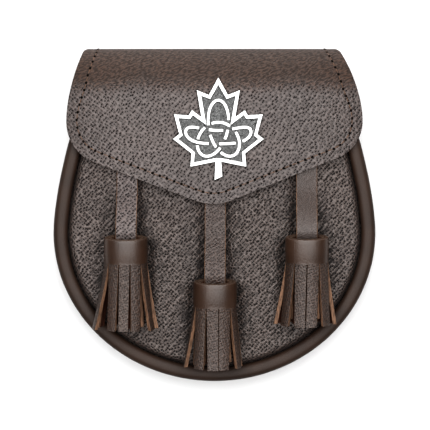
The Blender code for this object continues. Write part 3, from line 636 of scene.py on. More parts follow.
def grained_material(name, looks):
    """Leather with pores, fine wrinkles between them and, where looks says, a browner creased fold. The colour
    holds painted highlight on the crowns and wrinkles and painted shade in the pores, the crease clefts and the
    fold.
    """
    s = settings()
    colour = [c * share for c, share in zip(s.grained_colour, looks["shade"])]
    mat, tree, shader = plain_shader(name, specular=looks["specular"])
    hide, where = hide_place(tree), own_place(tree)
    drift = calculate_vector(tree, "SUBTRACT", noise_2d(tree, hide, 170.0, output="Color"), (0.5, 0.5, 0.5))
    place = calculate_vector(tree, "ADD", hide, calculate_vector(tree, "MULTIPLY", drift, (PORE_WANDER,) * 3))
    angle = looks["angle"]
    diagonal = turned(tree, place, angle, looks["squeeze"], PORE_ROW_SQUEEZE)
    pit, crown_and_highlight = pores(tree, diagonal, looks["spacing"], looks["reach"], noise_2d(tree, place, 310.0))
    wrinkle = noise_2d(tree, turned(tree, place, angle, 0.45, 1.0), 950.0, roughness=0.55)
    fine = noise_2d(tree, place, 1900.0)
    broad = noise_3d(tree, where, 30.0, 3.0)
    # Clefts beside the straps: bumped, and darkened in the colour with painted shade.
    if "shaded_creases" in looks:
        beside = add_node(tree, "ShaderNodeSeparateXYZ", {0: hide}).outputs["Z"]
        lines = noise_2d(tree, turned(tree, place, angle, 0.20, 1.0), 520.0)
        shaded_cleft = calculate(tree, "MULTIPLY", remap(tree, lines, 0.40, 0.50, 1.0, 0.0), beside)
        pit = calculate(tree, "MAXIMUM", pit, calculate(tree, "MULTIPLY", shaded_cleft, looks["shaded_creases"]))
    height = calculate(tree, "MULTIPLY", pit, -looks["depth"])
    height = calculate(tree, "MULTIPLY_ADD", crown_and_highlight, looks["depth"] * 0.4, height)
    height = calculate(tree, "MULTIPLY_ADD", wrinkle, looks["wrinkle"], height)
    height = calculate(tree, "MULTIPLY_ADD", fine, looks["wrinkle"] * 0.25, height)
    # Lighter on wrinkle ridges and on the crowns between the pores: painted highlight and shade of the grain's
    # relief, with some random tone from the fine noise.
    light = calculate(tree, "MULTIPLY_ADD", remap(tree, wrinkle, 0.35, 0.65), 0.35,
                      remap(tree, fine, 0.35, 0.65, 0.0, 0.25))
    light = calculate(tree, "MULTIPLY_ADD", crown_and_highlight, 0.4, light)
    contrast = looks["contrast"]
    tint = blend_colour(tree, light, scaled(colour, 1 - contrast), scaled(colour, 1 + contrast))
    # The fold turns browner and darker towards its top: partly the leather's browner colour, partly painted
    # shade where the fold curves away from the light.
    if "fold" in looks:
        low, high = looks["fold"]
        y = add_node(tree, "ShaderNodeSeparateXYZ", {0: where}).outputs["Y"]
        y = calculate(tree, "MULTIPLY_ADD", broad, 0.008, y)
        over = remap(tree, y, low + 0.004, high + 0.004)
        crease = noise_2d(tree, turned(tree, place, 24.0, 0.38, 1.0), 1080.0, 1.0)
        band = remap(tree, over, 0.45, 1.0, 1.0, 0.40)
        folded = calculate(tree, "MULTIPLY", band, looks["wrinkle"] * 4.0)
        folded = calculate(tree, "MULTIPLY", crease, folded)
        mix = add_node(tree, "ShaderNodeMix", {0: over, 2: height, 3: folded}, data_type="FLOAT")
        height = mix.outputs[0]
        pit = calculate(tree, "MULTIPLY", pit, remap(tree, over, 0.15, 0.95, 1.0, 0.0))
        fold_shade = tuple(s.fold_shade_colour)
        # Crease crests lighter and valleys darker on the fold: painted highlight and painted shade.
        crease_highlight_and_shade = blend_colour(tree, remap(tree, crease, 0.42, 0.62), scaled(fold_shade, 0.35), scaled(fold_shade, 2.6))
        tint = blend_colour(tree, over, tint, blend_colour(tree, band, fold_shade, crease_highlight_and_shade))
    shade = remap(tree, broad, 0.3, 0.7, 0.88, 1.12)
    shade = add_node(tree, "ShaderNodeCombineColor", {0: shade, 1: shade, 2: shade}).outputs[0]
    tint = blend_colour(tree, 1.0, tint, shade, "MULTIPLY")
    # Pores darkened nearly to black: partly the pores' own dark, partly painted shade in the pits. The clefts
    # beside the straps get the same painted shade.
    tree.links.new(blend_colour(tree, pit, tint, scaled(colour, 0.06)), shader.inputs["Base Color"])
    rough = remap(tree, light, 0.0, 1.0, s.gloss + 0.10, s.gloss - 0.05, smooth=False)
    rough = calculate(tree, "MULTIPLY_ADD", pit, 0.45, rough)
    if "fold" in looks:
        valley = calculate(tree, "MULTIPLY", remap(tree, crease, 0.40, 0.56, 0.35, 0.0), band)
        rough = calculate(tree, "MULTIPLY_ADD", over, calculate(tree, "ADD", valley, 0.18), rough)
    tree.links.new(rough, shader.inputs["Roughness"])
    add_bump(tree, shader, height)
    return mat


def smooth_material(name, colour, roughness, specular):
    """Smooth leather with a faint grain and slow changes of shade."""
    mat, tree, shader = plain_shader(name, specular=specular)
    place = hide_place(tree)
    grain = add_node(tree, "ShaderNodeTexVoronoi", {"Vector": place, "Scale": 900.0, "Smoothness": 0.8},
                     voronoi_dimensions="2D", feature="SMOOTH_F1").outputs["Distance"]
    fine = noise_2d(tree, place, 2200.0, 3.0)
    broad = noise_3d(tree, own_place(tree), 70.0, 3.0)
    height = calculate(tree, "MULTIPLY_ADD", fine, 0.05, calculate(tree, "MULTIPLY", grain, -0.10))
    tint = blend_colour(tree, remap(tree, broad, 0.3, 0.7), scaled(colour, 0.82), scaled(colour, 1.18))
    tint = blend_colour(tree, remap(tree, fine, 0.3, 0.7, 0.0, 0.35), tint, scaled(colour, 0.6))
    tree.links.new(tint, shader.inputs["Base Color"])
    rough = remap(tree, fine, 0.3, 0.7, roughness - 0.05, roughness + 0.05)
    tree.links.new(rough, shader.inputs["Roughness"])
    add_bump(tree, shader, height)
    return mat


def fibre_material(name, colour, dark):
    """Cut edges and flesh sides: matt, streaked along the cut."""
    mat, tree, shader = plain_shader(name, roughness=0.75, specular=0.25)
    where = own_place(tree)
    streak = add_node(tree, "ShaderNodeMapping", {"Vector": where, "Scale": (1.0, 0.16, 1.0)}).outputs[0]
    streak = noise_3d(tree, streak, 1500.0, 3.0)
    broad = noise_3d(tree, where, 160.0, 2.0)
    patches = remap(tree, broad, 0.25, 0.6, 0.4, 1.0)
    mixed = calculate(tree, "MULTIPLY", remap(tree, streak, 0.35, 0.65), patches)
    tree.links.new(blend_colour(tree, mixed, dark, colour), shader.inputs["Base Color"])
    add_bump(tree, shader, streak, 0.7, 0.0002)
    return mat


def thread_material(colour):
    """Twisted waxed thread."""
    mat, tree, shader = plain_shader("sewing_thread", roughness=0.55)
    twist = noise_3d(tree, own_place(tree), 3500.0, 1.0)
    tint = blend_colour(tree, twist, scaled(colour, 0.6), scaled(colour, 1.3))
    tree.links.new(tint, shader.inputs["Base Color"])
    return mat


def pewter(kind):
    """A finish of the cast pewter by name: fine stipple, with oxide left where dark_share says."""
    s = settings()
    row = PEWTERS[kind]
    stipple, roughness, dark_share = row["stipple"], row["roughness"], row["dark_share"]
    mat, tree, shader = plain_shader(kind, metallic=1.0)
    where = own_place(tree)
    dots = add_node(tree, "ShaderNodeTexVoronoi", {"Vector": where, "Scale": 2100.0}).outputs["Distance"]
    cloud = noise_3d(tree, where, 900.0, 4.0)
    height = calculate(tree, "MULTIPLY_ADD", cloud, stipple, calculate(tree, "MULTIPLY", dots, stipple))
    oxide = remap(tree, cloud, 0.62 - dark_share * 0.5, 0.78 - dark_share * 0.5, 1.0, 0.0)
    oxide = calculate(tree, "MULTIPLY", oxide, dark_share)
    colour = scaled(s.pewter_colour, row["shade"])
    tree.links.new(blend_colour(tree, oxide, colour, tuple(s.oxide_colour)), shader.inputs["Base Color"])
    rough = remap(tree, cloud, 0.3, 0.7, roughness - 0.05, roughness + 0.08)
    tree.links.new(rough, shader.inputs["Roughness"])
    add_bump(tree, shader, height, distance=0.0002)
    return mat


# Grains of the hide. shade is the colour as shares of the grained leather's red, green and blue. spacing and
# depth are shares of the pore spacing and depth that are set. angle is the direction in degrees in which the
# pores line up, and squeeze how close they stand along it. reach is a pore's radius as a share of the
# spacing. wrinkle is the height of the wrinkles and contrast how far the shades part. shaded_creases is how
# strongly the leather is creased beside the straps, its clefts darkened with painted shade. fold gives the two
# heights on the pouch between which the front's look turns to the fold's, browner and darker with painted
# shade.
GRAINS = {
    "flap_grain": {
        "shade": (1.04, 1.04, 1.05), "specular": 0.50, "spacing": 1.16, "angle": 52.0, "squeeze": 1.12,
        "reach": 0.19, "depth": 1.0, "wrinkle": 0.50, "contrast": 0.36, "fold": (0.066, 0.080),
    },
    "panel_grain": {
        "shade": (1.05, 1.04, 1.02), "specular": 0.45, "spacing": 1.06, "angle": 47.0, "squeeze": 1.12,
        "reach": 0.23, "depth": 1.3, "wrinkle": 0.85, "contrast": 0.42, "shaded_creases": 0.8,
    },
    "strap_grain": {
        "shade": (1.20, 1.20, 1.24), "specular": 0.50, "spacing": 1.08, "angle": 45.0, "squeeze": 1.10,
        "reach": 0.20, "depth": 0.9, "wrinkle": 0.60, "contrast": 0.40,
    },
    "strap_soft": {
        "shade": (0.72, 0.58, 0.50), "specular": 0.50, "spacing": 0.90, "angle": 35.0, "squeeze": 1.0,
        "reach": 0.15, "depth": 0.8, "wrinkle": 0.80, "contrast": 0.38,
    },
    "strap_fine": {
        "shade": (0.76, 0.66, 0.60), "specular": 0.50, "spacing": 0.60, "angle": 30.0, "squeeze": 1.0,
        "reach": 0.10, "depth": 0.3, "wrinkle": 0.60, "contrast": 0.28,
    },
    "strip_grain": {
        "shade": (0.60, 0.45, 0.35), "specular": 0.50, "spacing": 0.85, "angle": 20.0, "squeeze": 1.0,
        "reach": 0.13, "depth": 0.6, "wrinkle": 0.75, "contrast": 0.45,
    },
}

# Cut edges and flesh sides: the setting with their colour, and the shares of it between which fibres vary
FIBRES = {
    "cut_edge": {"colour": "edge_colour", "light": 1.0, "dark": 0.45},
    "flap_edge": {"colour": "edge_colour", "light": 0.62, "dark": 0.25},
    # The heads' top edges round their openings are drawn darker than the other cut edges.
    "worn_edge": {"colour": "edge_colour", "light": 0.42, "dark": 0.16},
    # The flesh side's dark colour is painted shade for the slits and hollows where it shows.
    "flesh_side": {"colour": "flesh_shade_colour", "light": 1.0, "dark": 0.50},
}

# Smooth leather: its colour as a share of the setting, and what is added to the leather's roughness
SMOOTHS = {
    "smooth": {"shade": 1.0, "rougher": -0.06, "specular": 0.55},
    # The roll's finish is a darker copy of the smooth leather: painted shade.
    "roll_smooth": {"shade": 0.72, "rougher": 0.14, "specular": 0.33},
}

# Cast pewter: its colour as a share of the setting, its stipple's height, its roughness, and how much is dark
PEWTERS = {
    "pewter_polished": {"shade": 1.0, "stipple": 0.20, "roughness": 0.36, "dark_share": 0.12},
    "pewter_recess": {"shade": 0.10, "stipple": 0.6, "roughness": 0.6, "dark_share": 0.9},
    "pewter_ground": {"shade": 0.42, "stipple": 1.8, "roughness": 0.5, "dark_share": 0.6},
}


def settings():
    """The sizes and colours that the panel shows."""
    return bpy.context.scene.sporran


def leather(kind):
    """A leather finish by name, made once."""
    if kind in bpy.data.materials:
        return bpy.data.materials[kind]
    s = settings()
    if kind in GRAINS:
        looks = dict(GRAINS[kind])
        looks["spacing"] *= s.pore_spacing
        looks["depth"] *= s.pore_depth
        return grained_material(kind, looks)
    if kind in SMOOTHS:
        row = SMOOTHS[kind]
        colour = scaled(s.smooth_colour, row["shade"])
        return smooth_material(kind, colour, s.gloss + row["rougher"], row["specular"])
    row = FIBRES[kind]
    colour = getattr(s, row["colour"])
    return fibre_material(kind, scaled(colour, row["light"]), scaled(colour, row["dark"]))


# Meshes

def add_object(name, data):
    """An object of the scene."""
    obj = bpy.data.objects.new(name, data)
    bpy.context.scene.collection.objects.link(obj)
    return obj


def grain_layer(bm):
    """The layer of a bmesh that holds the grain map."""
    return bm.verts.layers.float_vector.get(GRAIN_MAP) or bm.verts.layers.float_vector.new(GRAIN_MAP)


def add_face(bm, slot, *verts):
    """One face with its material slot."""
    bm.faces.new(verts).material_index = slot


def add_skin(bm, upper, lower, slot):
    """Faces between two closed rings of vertices."""
    for k, vert in enumerate(upper):
        m = (k + 1) % len(upper)
        add_face(bm, slot, vert, upper[m], lower[m], lower[k])


def hide_cut(first):
    """The three finishes of a piece of hide: its grain side, its cut edges and its flesh side."""
    return [leather(first), leather("cut_edge"), leather("flesh_side")]


def finish_mesh(name, bm, materials, sharp=35.0):
    """A bmesh as a smooth-shaded object with its materials, merged and turned outwards."""
    bmesh.ops.remove_doubles(bm, verts=bm.verts, dist=1e-6)
    bmesh.ops.recalc_face_normals(bm, faces=bm.faces)
    mesh = bpy.data.meshes.new(name)
    bm.to_mesh(mesh)
    bm.free()
    mesh.shade_smooth()
    mesh.set_sharp_from_angle(angle=math.radians(sharp))
    for mat in materials:
        mesh.materials.append(mat)
    return add_object(name, mesh)


def stand_for(obj, slot, *nodes):
    """Rides a finished piece on the part, in place of its CAD nodes. slot is not used."""
    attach(obj, "root")
    if nodes:
        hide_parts(*nodes)
    return obj


def round_edges(obj, width, angle=50.0, slot=-1):
    """A live Bevel on the edges that turn sharply. slot is the bevel's material, -1 its neighbours'."""
    bevel = obj.modifiers.new("rounded_edges", "BEVEL")
    bevel.width = width
    bevel.segments = 2
    bevel.limit_method = "ANGLE"
    bevel.angle_limit = math.radians(angle)
    bevel.harden_normals = False
    bevel.material = slot
    return obj


def add_wall(bm, outer, inner, flat, open_columns=False):
    """A wall between two grids of points. Face slots: 0 outer, 1 edges, 2 inner. flat is the grain map."""
    layer = grain_layer(bm)

    def grid(rows):
        made = []
        for row, places in zip(rows, flat):
            line = []
            for p, place in zip(row, places):
                v = bm.verts.new(p)
                v[layer] = (place[0], place[1], place[2] if len(place) > 2 else 0.0)
                line.append(v)
            made.append(line)
        return made

    faces, backs = grid(outer), grid(inner)
    last_row, last_column = len(faces) - 1, len(faces[0]) - 1
    for i in range(last_row):
        for j in range(last_column):
            add_face(bm, 0, faces[i][j], faces[i + 1][j], faces[i + 1][j + 1], faces[i][j + 1])
            add_face(bm, 2, backs[i][j], backs[i][j + 1], backs[i + 1][j + 1], backs[i + 1][j])
    for i in (0, last_row):
        for j in range(last_column):
            add_face(bm, 1, faces[i][j], faces[i][j + 1], backs[i][j + 1], backs[i][j])
    for j in (0,) if open_columns else (0, last_column):
        for i in range(last_row):
            add_face(bm, 1, faces[i][j], faces[i + 1][j], backs[i + 1][j], backs[i][j])


def make_wall(name, outer, inner, flat, materials, sharp=35.0, open_columns=False):
    """An object that is one such wall."""
    bm = bmesh.new()
    add_wall(bm, outer, inner, flat, open_columns)
    return finish_mesh(name, bm, materials, sharp)


def make_sweep(name, rings, flat, finish, sharp=35.0):
    """A closed solid through rings of points, its two ends filled. flat is the grain map."""
    bm = bmesh.new()
    layer = grain_layer(bm)
    loops = []
    for ring, places in zip(rings, flat):
        loop = [bm.verts.new(p) for p in ring]
        for v, place in zip(loop, places):
            v[layer] = (place[0], place[1], 0.0)
        loops.append(loop)
    for upper, lower in zip(loops, loops[1:]):
        add_skin(bm, upper, lower, 0)
    bm.faces.new(loops[0])
    bm.faces.new(loops[-1])
    return finish_mesh(name, bm, [leather(finish)], sharp)


def sweep_round(steps):
    """Stations round the pouch: a point of the outline, the outward normal and the distance along it."""
    along = 0.0
    last = None
    for point in outline(steps):
        along += (point - last).length if last else 0.0
        last = point
        yield point, spoke(point.x, point.y)[1], along


def stand_section(point, normal, section):
    """A section of (inset, height) points stood up at a station of the outline."""
    return [Vector((point.x - normal.x * p.x, point.y - normal.y * p.x, p.y)) for p in section]


def wall_section(path, thickness):
    """A closed outline that lies half the thickness to each side of a path."""
    left, right = [], []
    for i, point in enumerate(path):
        before = (point - path[i - 1]).normalized() if i else (path[1] - point).normalized()
        after = (path[i + 1] - point).normalized() if i < len(path) - 1 else before
        mitre = (before + after).normalized()
        reach = thickness / 2 / mitre.dot(before)
        offset = Vector((-mitre.y, mitre.x)) * reach
        left.append(point + offset)
        right.append(point - offset)
    return left + right[::-1]


def make_front_panel():
    """Crowned front wall with its rim turned down."""
    shoulder_end = PANEL_INSET + SHOULDER_WIDTH
    shoulder_steps, crown_steps, crowding = 14, 64, 2.2
    outer, inner, flat = [], [], []
    for point in outline(PANEL_STATIONS):
        normal = spoke(point.x, point.y)[1]
        length = depth_of_spoke(point.x, point.y)[1]
        outer_row, inner_row, places = [], [], []
        top = on_spoke(point, shoulder_end)
        arc_length = 0.0
        for i in range(shoulder_steps, -1, -1):
            t = (i / shoulder_steps) ** crowding
            p = on_spoke(point, PANEL_INSET + SHOULDER_WIDTH * t)
            q = on_spoke(point, PANEL_INSET + LEATHER + (SHOULDER_WIDTH - LEATHER) * t)
            rise = shoulder_rise(t)
            place = Vector((p.x, p.y, PANEL_RIM_Z + (SHOULDER_RISE - dents(p.x, p.y)) * rise))
            if outer_row:
                arc_length += (place - outer_row[-1]).length
            outer_row.append(place)
            under = SHOULDER_RISE - LEATHER - dents(q.x, q.y)
            inner_row.append(Vector((q.x, q.y, PANEL_RIM_Z + under * rise)))
            places.append(top + normal * arc_length)
        outer_row.reverse()
        inner_row.reverse()
        places.reverse()
        for i in range(1, crown_steps + 1):
            k = i / crown_steps
            p = on_spoke(point, shoulder_end + (length - shoulder_end) * k)
            sunk = TROUGH_DEPTH * beside_straps(p.x, p.y, TROUGH_REACH, False) * ease(k * TROUGH_FADE)
            height = front_height(p.x, p.y) - sunk
            outer_row.append(Vector((p.x, p.y, height)))
            inner_row.append(Vector((p.x, p.y, height - LEATHER)))
            # How much the leather is creased beside the straps; the grain darkens its clefts there with painted
            # shade.
            crease = beside_straps(p.x, p.y, CREASE_REACH, True) * ease((CREASE_START - p.y) / CREASE_START)
            places.append((p.x, p.y, crease))
        outer.append(outer_row)
        inner.append(inner_row)
        flat.append(places)
    return make_wall("front_leather", outer, inner, flat, hide_cut("panel_grain"), open_columns=True)


def make_back_panel():
    """Back wall: flat rim on the floor, dished middle."""
    rim_steps, dish_steps, middle_steps = 4, 12, 8
    insets = [BACK_INSET + (DISH_START - BACK_INSET) * i / rim_steps for i in range(rim_steps)]
    insets += [DISH_START + DISH_WIDTH * i / dish_steps for i in range(dish_steps + 1)]
    outer, inner, flat = [], [], []
    for point in outline(BACK_STATIONS):
        row = [on_spoke(point, inset) for inset in insets]
        hub = spoke(point.x, point.y)[2]
        row += [row[-1].lerp(hub, i / middle_steps) for i in range(1, middle_steps + 1)]
        outer.append([Vector((p.x, p.y, back_height(p.x, p.y))) for p in row])
        inner.append([Vector((p.x, p.y, back_height(p.x, p.y) + LEATHER)) for p in row])
        flat.append(row)
    return make_wall("back_leather", outer, inner, flat, hide_cut("panel_grain"), open_columns=True)


def make_gusset():
    """Side wall round the U with its flanges turned in."""
    middle = GUSSET_INSET + LEATHER / 2
    front = FLANGE_FACE_Z - LEATHER / 2
    rings, flat = [], []
    for point, normal, along in sweep_round(GUSSET_STATIONS):
        back = back_lift(point.y) + LEATHER + GAP + LEATHER / 2
        path = [Vector((GUSSET_INSET + BACK_FLANGE, back))]
        path += arc((middle + BACK_BEND, back + BACK_BEND), BACK_BEND, -math.pi / 2, -math.pi, BEND_STEPS)
        low, high = path[-1].copy(), Vector((middle, front - FRONT_BEND))
        path += [low.lerp(high, i / BEND_STEPS) for i in range(1, BEND_STEPS)]
        path += arc((middle + FRONT_BEND, front - FRONT_BEND), FRONT_BEND, math.pi, math.pi / 2, BEND_STEPS)
        path.append(Vector((GUSSET_INSET + FRONT_FLANGE, front)))
        section = wall_section(path, LEATHER)
        rings.append(stand_section(point, normal, section))
        flat.append([(along, p.y + (p.x if p.y > ROLL_Z / 2 else -p.x)) for p in section])
    return make_sweep("gusset_leather", rings, flat, "strap_grain")


def make_edge_roll():
    """Smooth leather rolled round the front panel's edge, with the small unevenness of hand work."""
    sides = 28
    rings, flat = [], []
    for point, normal, along in sweep_round(ROLL_STATIONS):
        wave = noise.noise(Vector((along * ROLL_WAVES, 3.1, 0.0)))
        radius = ROLL_RADIUS * (1 + ROLL_UNEVENNESS * wave - ROLL_TRIM)
        section = []
        for i in range(sides):
            angle = 2 * math.pi * i / sides
            rise = math.copysign(abs(math.sin(angle)) ** ROLL_FLATNESS, math.sin(angle))
            reach = math.copysign(abs(math.cos(angle)) ** ROLL_FLATNESS, math.cos(angle))
            section.append(Vector((ROLL_RADIUS + radius * reach, ROLL_Z + radius * rise)))
        rings.append(stand_section(point, normal, section))
        flat.append([(along, ROLL_RADIUS * 2 * math.pi * i / sides) for i in range(sides)])
    # The roll wears the darker copy of the smooth leather, which is painted shade.
    return make_sweep("edge_roll_leather", rings, flat, "roll_smooth")


def flap_rows(columns, tail_rows, fold_rows, front_rows):
    """Rows of points on the flap's outer face and their places on the flat hide."""
    shares = [2 * j / columns - 1 for j in range(columns + 1)]
    tail_half = flap_side(FLAP_TOP_Y) - TAIL_NARROWING
    rows = []
    for i in range(tail_rows):
        y = TAIL_Y + (FOLD_Y - TAIL_Y) * i / tail_rows
        rows.append([Vector((c * tail_half + FLAP_LEAN, y, 0.0)) for c in shares])
    for i in range(fold_rows + 1):
        angle = math.pi * (i / fold_rows - 0.5)
        y = FOLD_Y + FOLD_REACH * math.cos(angle)
        half = flap_side(y)
        if angle < 0:
            half = flap_side(FLAP_TOP_Y) - TAIL_NARROWING * ease(-angle / (math.pi / 2))
        turn = (1 + math.sin(angle)) / 2
        lean = settled(Vector((0.0, y))).x if angle >= 0 else FLAP_LEAN
        rows.append([Vector((c * half + lean, y, flap_height(c * half) * turn)) for c in shares])
    side, lower = flap_edges()
    side = resample(side, front_rows)
    lower = resample(lower[::-1], columns // 2)
    lower = [Vector((-p.x, p.y)) for p in reversed(lower[1:])] + lower
    top = [Vector((c * side[0].x, side[0].y)) for c in shares]
    for i in range(1, front_rows + 1):
        v = i / front_rows
        row = []
        for j, c in enumerate(shares):
            u = (c + 1) / 2
            left = Vector((-side[i].x, side[i].y))
            at = top[j] * (1 - v) + lower[j] * v + left * (1 - u) + side[i] * u
            at -= (top[0] * (1 - u) + top[-1] * u) * (1 - v) + (lower[0] * (1 - u) + lower[-1] * u) * v
            place = settled(at)
            row.append(Vector((place.x, place.y, flap_height(at.x))))
        rows.append(row)
    middle = [row[columns // 2] for row in rows]
    top_row = tail_rows + fold_rows
    past = 0.0
    flat = [None] * len(rows)
    for i in range(len(rows) - 1, -1, -1):
        if i < top_row:
            past += (middle[i] - middle[i + 1]).length
            flat[i] = [(p.x, FOLD_Y + past) for p in rows[i]]
        else:
            flat[i] = [(p.x, p.y) for p in rows[i]]
    return rows, flat


def grid_normals(rows):
    """Unit normals of a grid of points, from its neighbours."""
    last_i, last_j = len(rows) - 1, len(rows[0]) - 1
    result = []
    for i, row in enumerate(rows):
        line = []
        for j in range(last_j + 1):
            along = rows[min(i + 1, last_i)][j] - rows[max(i - 1, 0)][j]
            across = row[min(j + 1, last_j)] - row[max(j - 1, 0)]
            line.append(across.cross(along).normalized())
        result.append(line)
    return result


def make_flap():
    """The flap in one piece: tail, fold and front."""
    outer, flat = flap_rows(*FLAP_STEPS)
    normals = grid_normals(outer)
    inner = [[p + n * FLAP_THICK for p, n in zip(row, line)] for row, line in zip(outer, normals)]
    finishes = [leather("flap_grain"), leather("flap_edge"), leather("flesh_side")]
    flap = make_wall("flap_leather", outer, inner, flat, finishes, CUT_SHARP)
    return round_edges(flap, FLAP_ROUNDING, slot=1)


def make_strap(side, row):
    """Strap from under the flap down into the tassel's head."""
    cosine, sine = math.cos(HEAD_TILT), math.sin(HEAD_TILT)
    behind = strap_seat()
    top = flap_lower_y(tassel_x(row)) + STRAP_TUCK
    mouth = tassel_axis_y(row) + behind * sine
    end = mouth - STRAP_GRIP * cosine
    lift_start = mouth + STRAP_LIFT
    steps = 70
    lower, upper, flat = [], [], []
    for i in range(steps + 1):
        y = top + (end - top) * i / steps
        along = max((mouth - y) / cosine, -STRAP_HUMP)
        seat = tassel_axis_z(row, 0.0) - along * sine - behind * cosine
        blend = ease((lift_start - y) / (STRAP_LIFT - STRAP_HUMP))
        line = []
        for share in STRAP_COLUMNS:
            x = tassel_x(row) + row["off"] * (1 - blend) + share * STRAP_WIDTH
            rise = STRAP_GAP + row["cant"] * share + abs(row["cant"]) / 2
            free = seat + STRAP_TWIST * row["cant"] * share * (1 - blend)
            line.append(Vector((x, y, (ground_height(x, y) + rise) * (1 - blend) + free * blend)))
        lower.append(line)
        upper.append([p + Vector((0, 0, STRAP_THICK)) for p in line])
        flat.append([(p.x, p.y) for p in line])
    strap = make_wall("strap_leather_" + side, upper, lower, flat, hide_cut(STRAP_GRAINS[side]), CUT_SHARP)
    return round_edges(strap, STRAP_ROUNDING, slot=1)


def oval_columns(parts, row):
    """Points on the head's oval with outward directions, parts + 1 to each strip, slits between strips."""
    angles = [2 * math.pi * i / FINE for i in range(FINE + 1)]
    oval = [Vector((HEAD_HALF_WIDTH * math.sin(a), HEAD_HALF_DEPTH * math.cos(a))) for a in angles]
    perimeter = sum((b - a).length for a, b in zip(oval, oval[1:]))
    fine = resample(oval, FINE)
    pitch = perimeter / row["strips"]
    columns = []
    for j in range(row["strips"]):
        for n in range(parts + 1):
            part = n / parts - 0.5
            place = ((j + row["turn"]) * pitch + part * (pitch - STRIP_SLIT)) / perimeter * FINE
            low = math.floor(place)
            p = fine[low % FINE].lerp(fine[(low + 1) % FINE], place - low)
            out = Vector((p.x / HEAD_HALF_WIDTH ** 2, p.y / HEAD_HALF_DEPTH ** 2)).normalized()
            columns.append((p, out, j * pitch + part * (pitch - STRIP_SLIT)))
    return columns


def make_tassel(side, row, seed):
    """Rolled leather head, open at its top, over two layers of cut strips."""
    parts, strip_rows, body_rows = 6, 18, 8
    columns = oval_columns(parts, row)
    count = len(columns)
    chance = random.Random(seed)
    bm = bmesh.new()
    layer = grain_layer(bm)

    def vert(at, along, round_place):
        v = bm.verts.new(at)
        v[layer] = (round_place, -along + seed * 0.1, 0.0)
        return v

    def ring(depth, along):
        return [vert(tassel_place(row, p - out * depth, along), along, place) for p, out, place in columns]

    rim = [ring(HEAD_RIM * (1 - math.sin(a)), HEAD_RIM * (1 - math.cos(a))) for a in HEAD_RIM_TURNS]
    body = [
        ring(-HEAD_BULGE * math.sin(math.pi * share), HEAD_RIM + (HEAD_LENGTH - HEAD_RIM) * share)
        for share in (k / body_rows for k in range(1, body_rows))
    ]
    foot = ring(0.0, HEAD_LENGTH)
    top = [ring(depth, along) for depth, along in HEAD_TOP]
    hole_foot = ring(HEAD_WALL, HEAD_LENGTH)
    strip_root = ring(STRIP_THICK, HEAD_LENGTH)
    loops = [strip_root, hole_foot, *top, *rim, *body, foot]
    slots = [2, 2] + [4] * len(top) + [0] * (len(rim) + len(body))
    for upper, lower, slot in zip(loops, loops[1:], slots):
        add_skin(bm, upper, lower, slot)
    for j in range(row["strips"]):
        first = (parts + 1) * j
        right, next_left = first + parts, (first + parts + 1) % count
        add_face(bm, 1, foot[right], foot[next_left], strip_root[next_left], strip_root[right])
        middle = columns[first + parts // 2][0]
        twist = FLARE_TWIST * spread(middle.x) / spread(HEAD_HALF_WIDTH)
        curl = chance.uniform(-STRIP_TURN, STRIP_TURN) - twist
        sway = chance.uniform(-STRIP_SWAY, STRIP_SWAY)
        shorter = chance.uniform(0.0, STRIP_SHORTER)
        outer_above = [foot[first + n] for n in range(parts + 1)]
        inner_above = [strip_root[first + n] for n in range(parts + 1)]
        for i in range(1, strip_rows + 1):
            share = i / strip_rows
            along = HEAD_LENGTH + (row["length"] / math.cos(HEAD_TILT) - HEAD_LENGTH - shorter) * share
            shift = Vector((
                row["flare"] * spread(middle.x) * share ** STRIP_SPREAD_POWER + (row["lean"] + sway) * share,
                max(middle.y, 0.0) * STRIP_SWELL * share,
            ))
            outer, inner, places = [], [], []
            for p, out, round_place in columns[first:first + parts + 1]:
                p = middle + turned_by((p - middle) * (1 - STRIP_TAPER * share), curl * share) + shift
                out = turned_by(out, curl * share)
                outer.append(tassel_place(row, p, along))
                inner.append(tassel_place(row, p - out * STRIP_THICK, along))
                places.append(round_place)
            sunk = min(p.z - ground_height(p.x, p.y) for p in outer + inner) - TASSEL_CLEARANCE
            rise = Vector((0, 0, max(-sunk, 0.0)))
            outer = [vert(p + rise, along, place) for p, place in zip(outer, places)]
            inner = [vert(p + rise, along, place) for p, place in zip(inner, places)]
            for n in range(parts):
                add_face(bm, 3, outer_above[n], outer_above[n + 1], outer[n + 1], outer[n])
                add_face(bm, 2, inner_above[n + 1], inner_above[n], inner[n], inner[n + 1])
            for n in (0, parts):
                add_face(bm, 1, outer_above[n], outer[n], inner[n], inner_above[n])
            outer_above, inner_above = outer, inner
        for n in range(parts):
            add_face(bm, 1, outer_above[n], outer_above[n + 1], inner_above[n + 1], inner_above[n])
    # Slot 4, the heads' top edges, takes the darker cut edge.
    finishes = [leather("smooth"), *hide_cut("strip_grain")[1:], leather("strip_grain"), leather("worn_edge")]
    tassel = finish_mesh("tassel_leather_" + side, bm, finishes, CUT_SHARP)
    return round_edges(tassel, TASSEL_ROUNDING, angle=60.0)


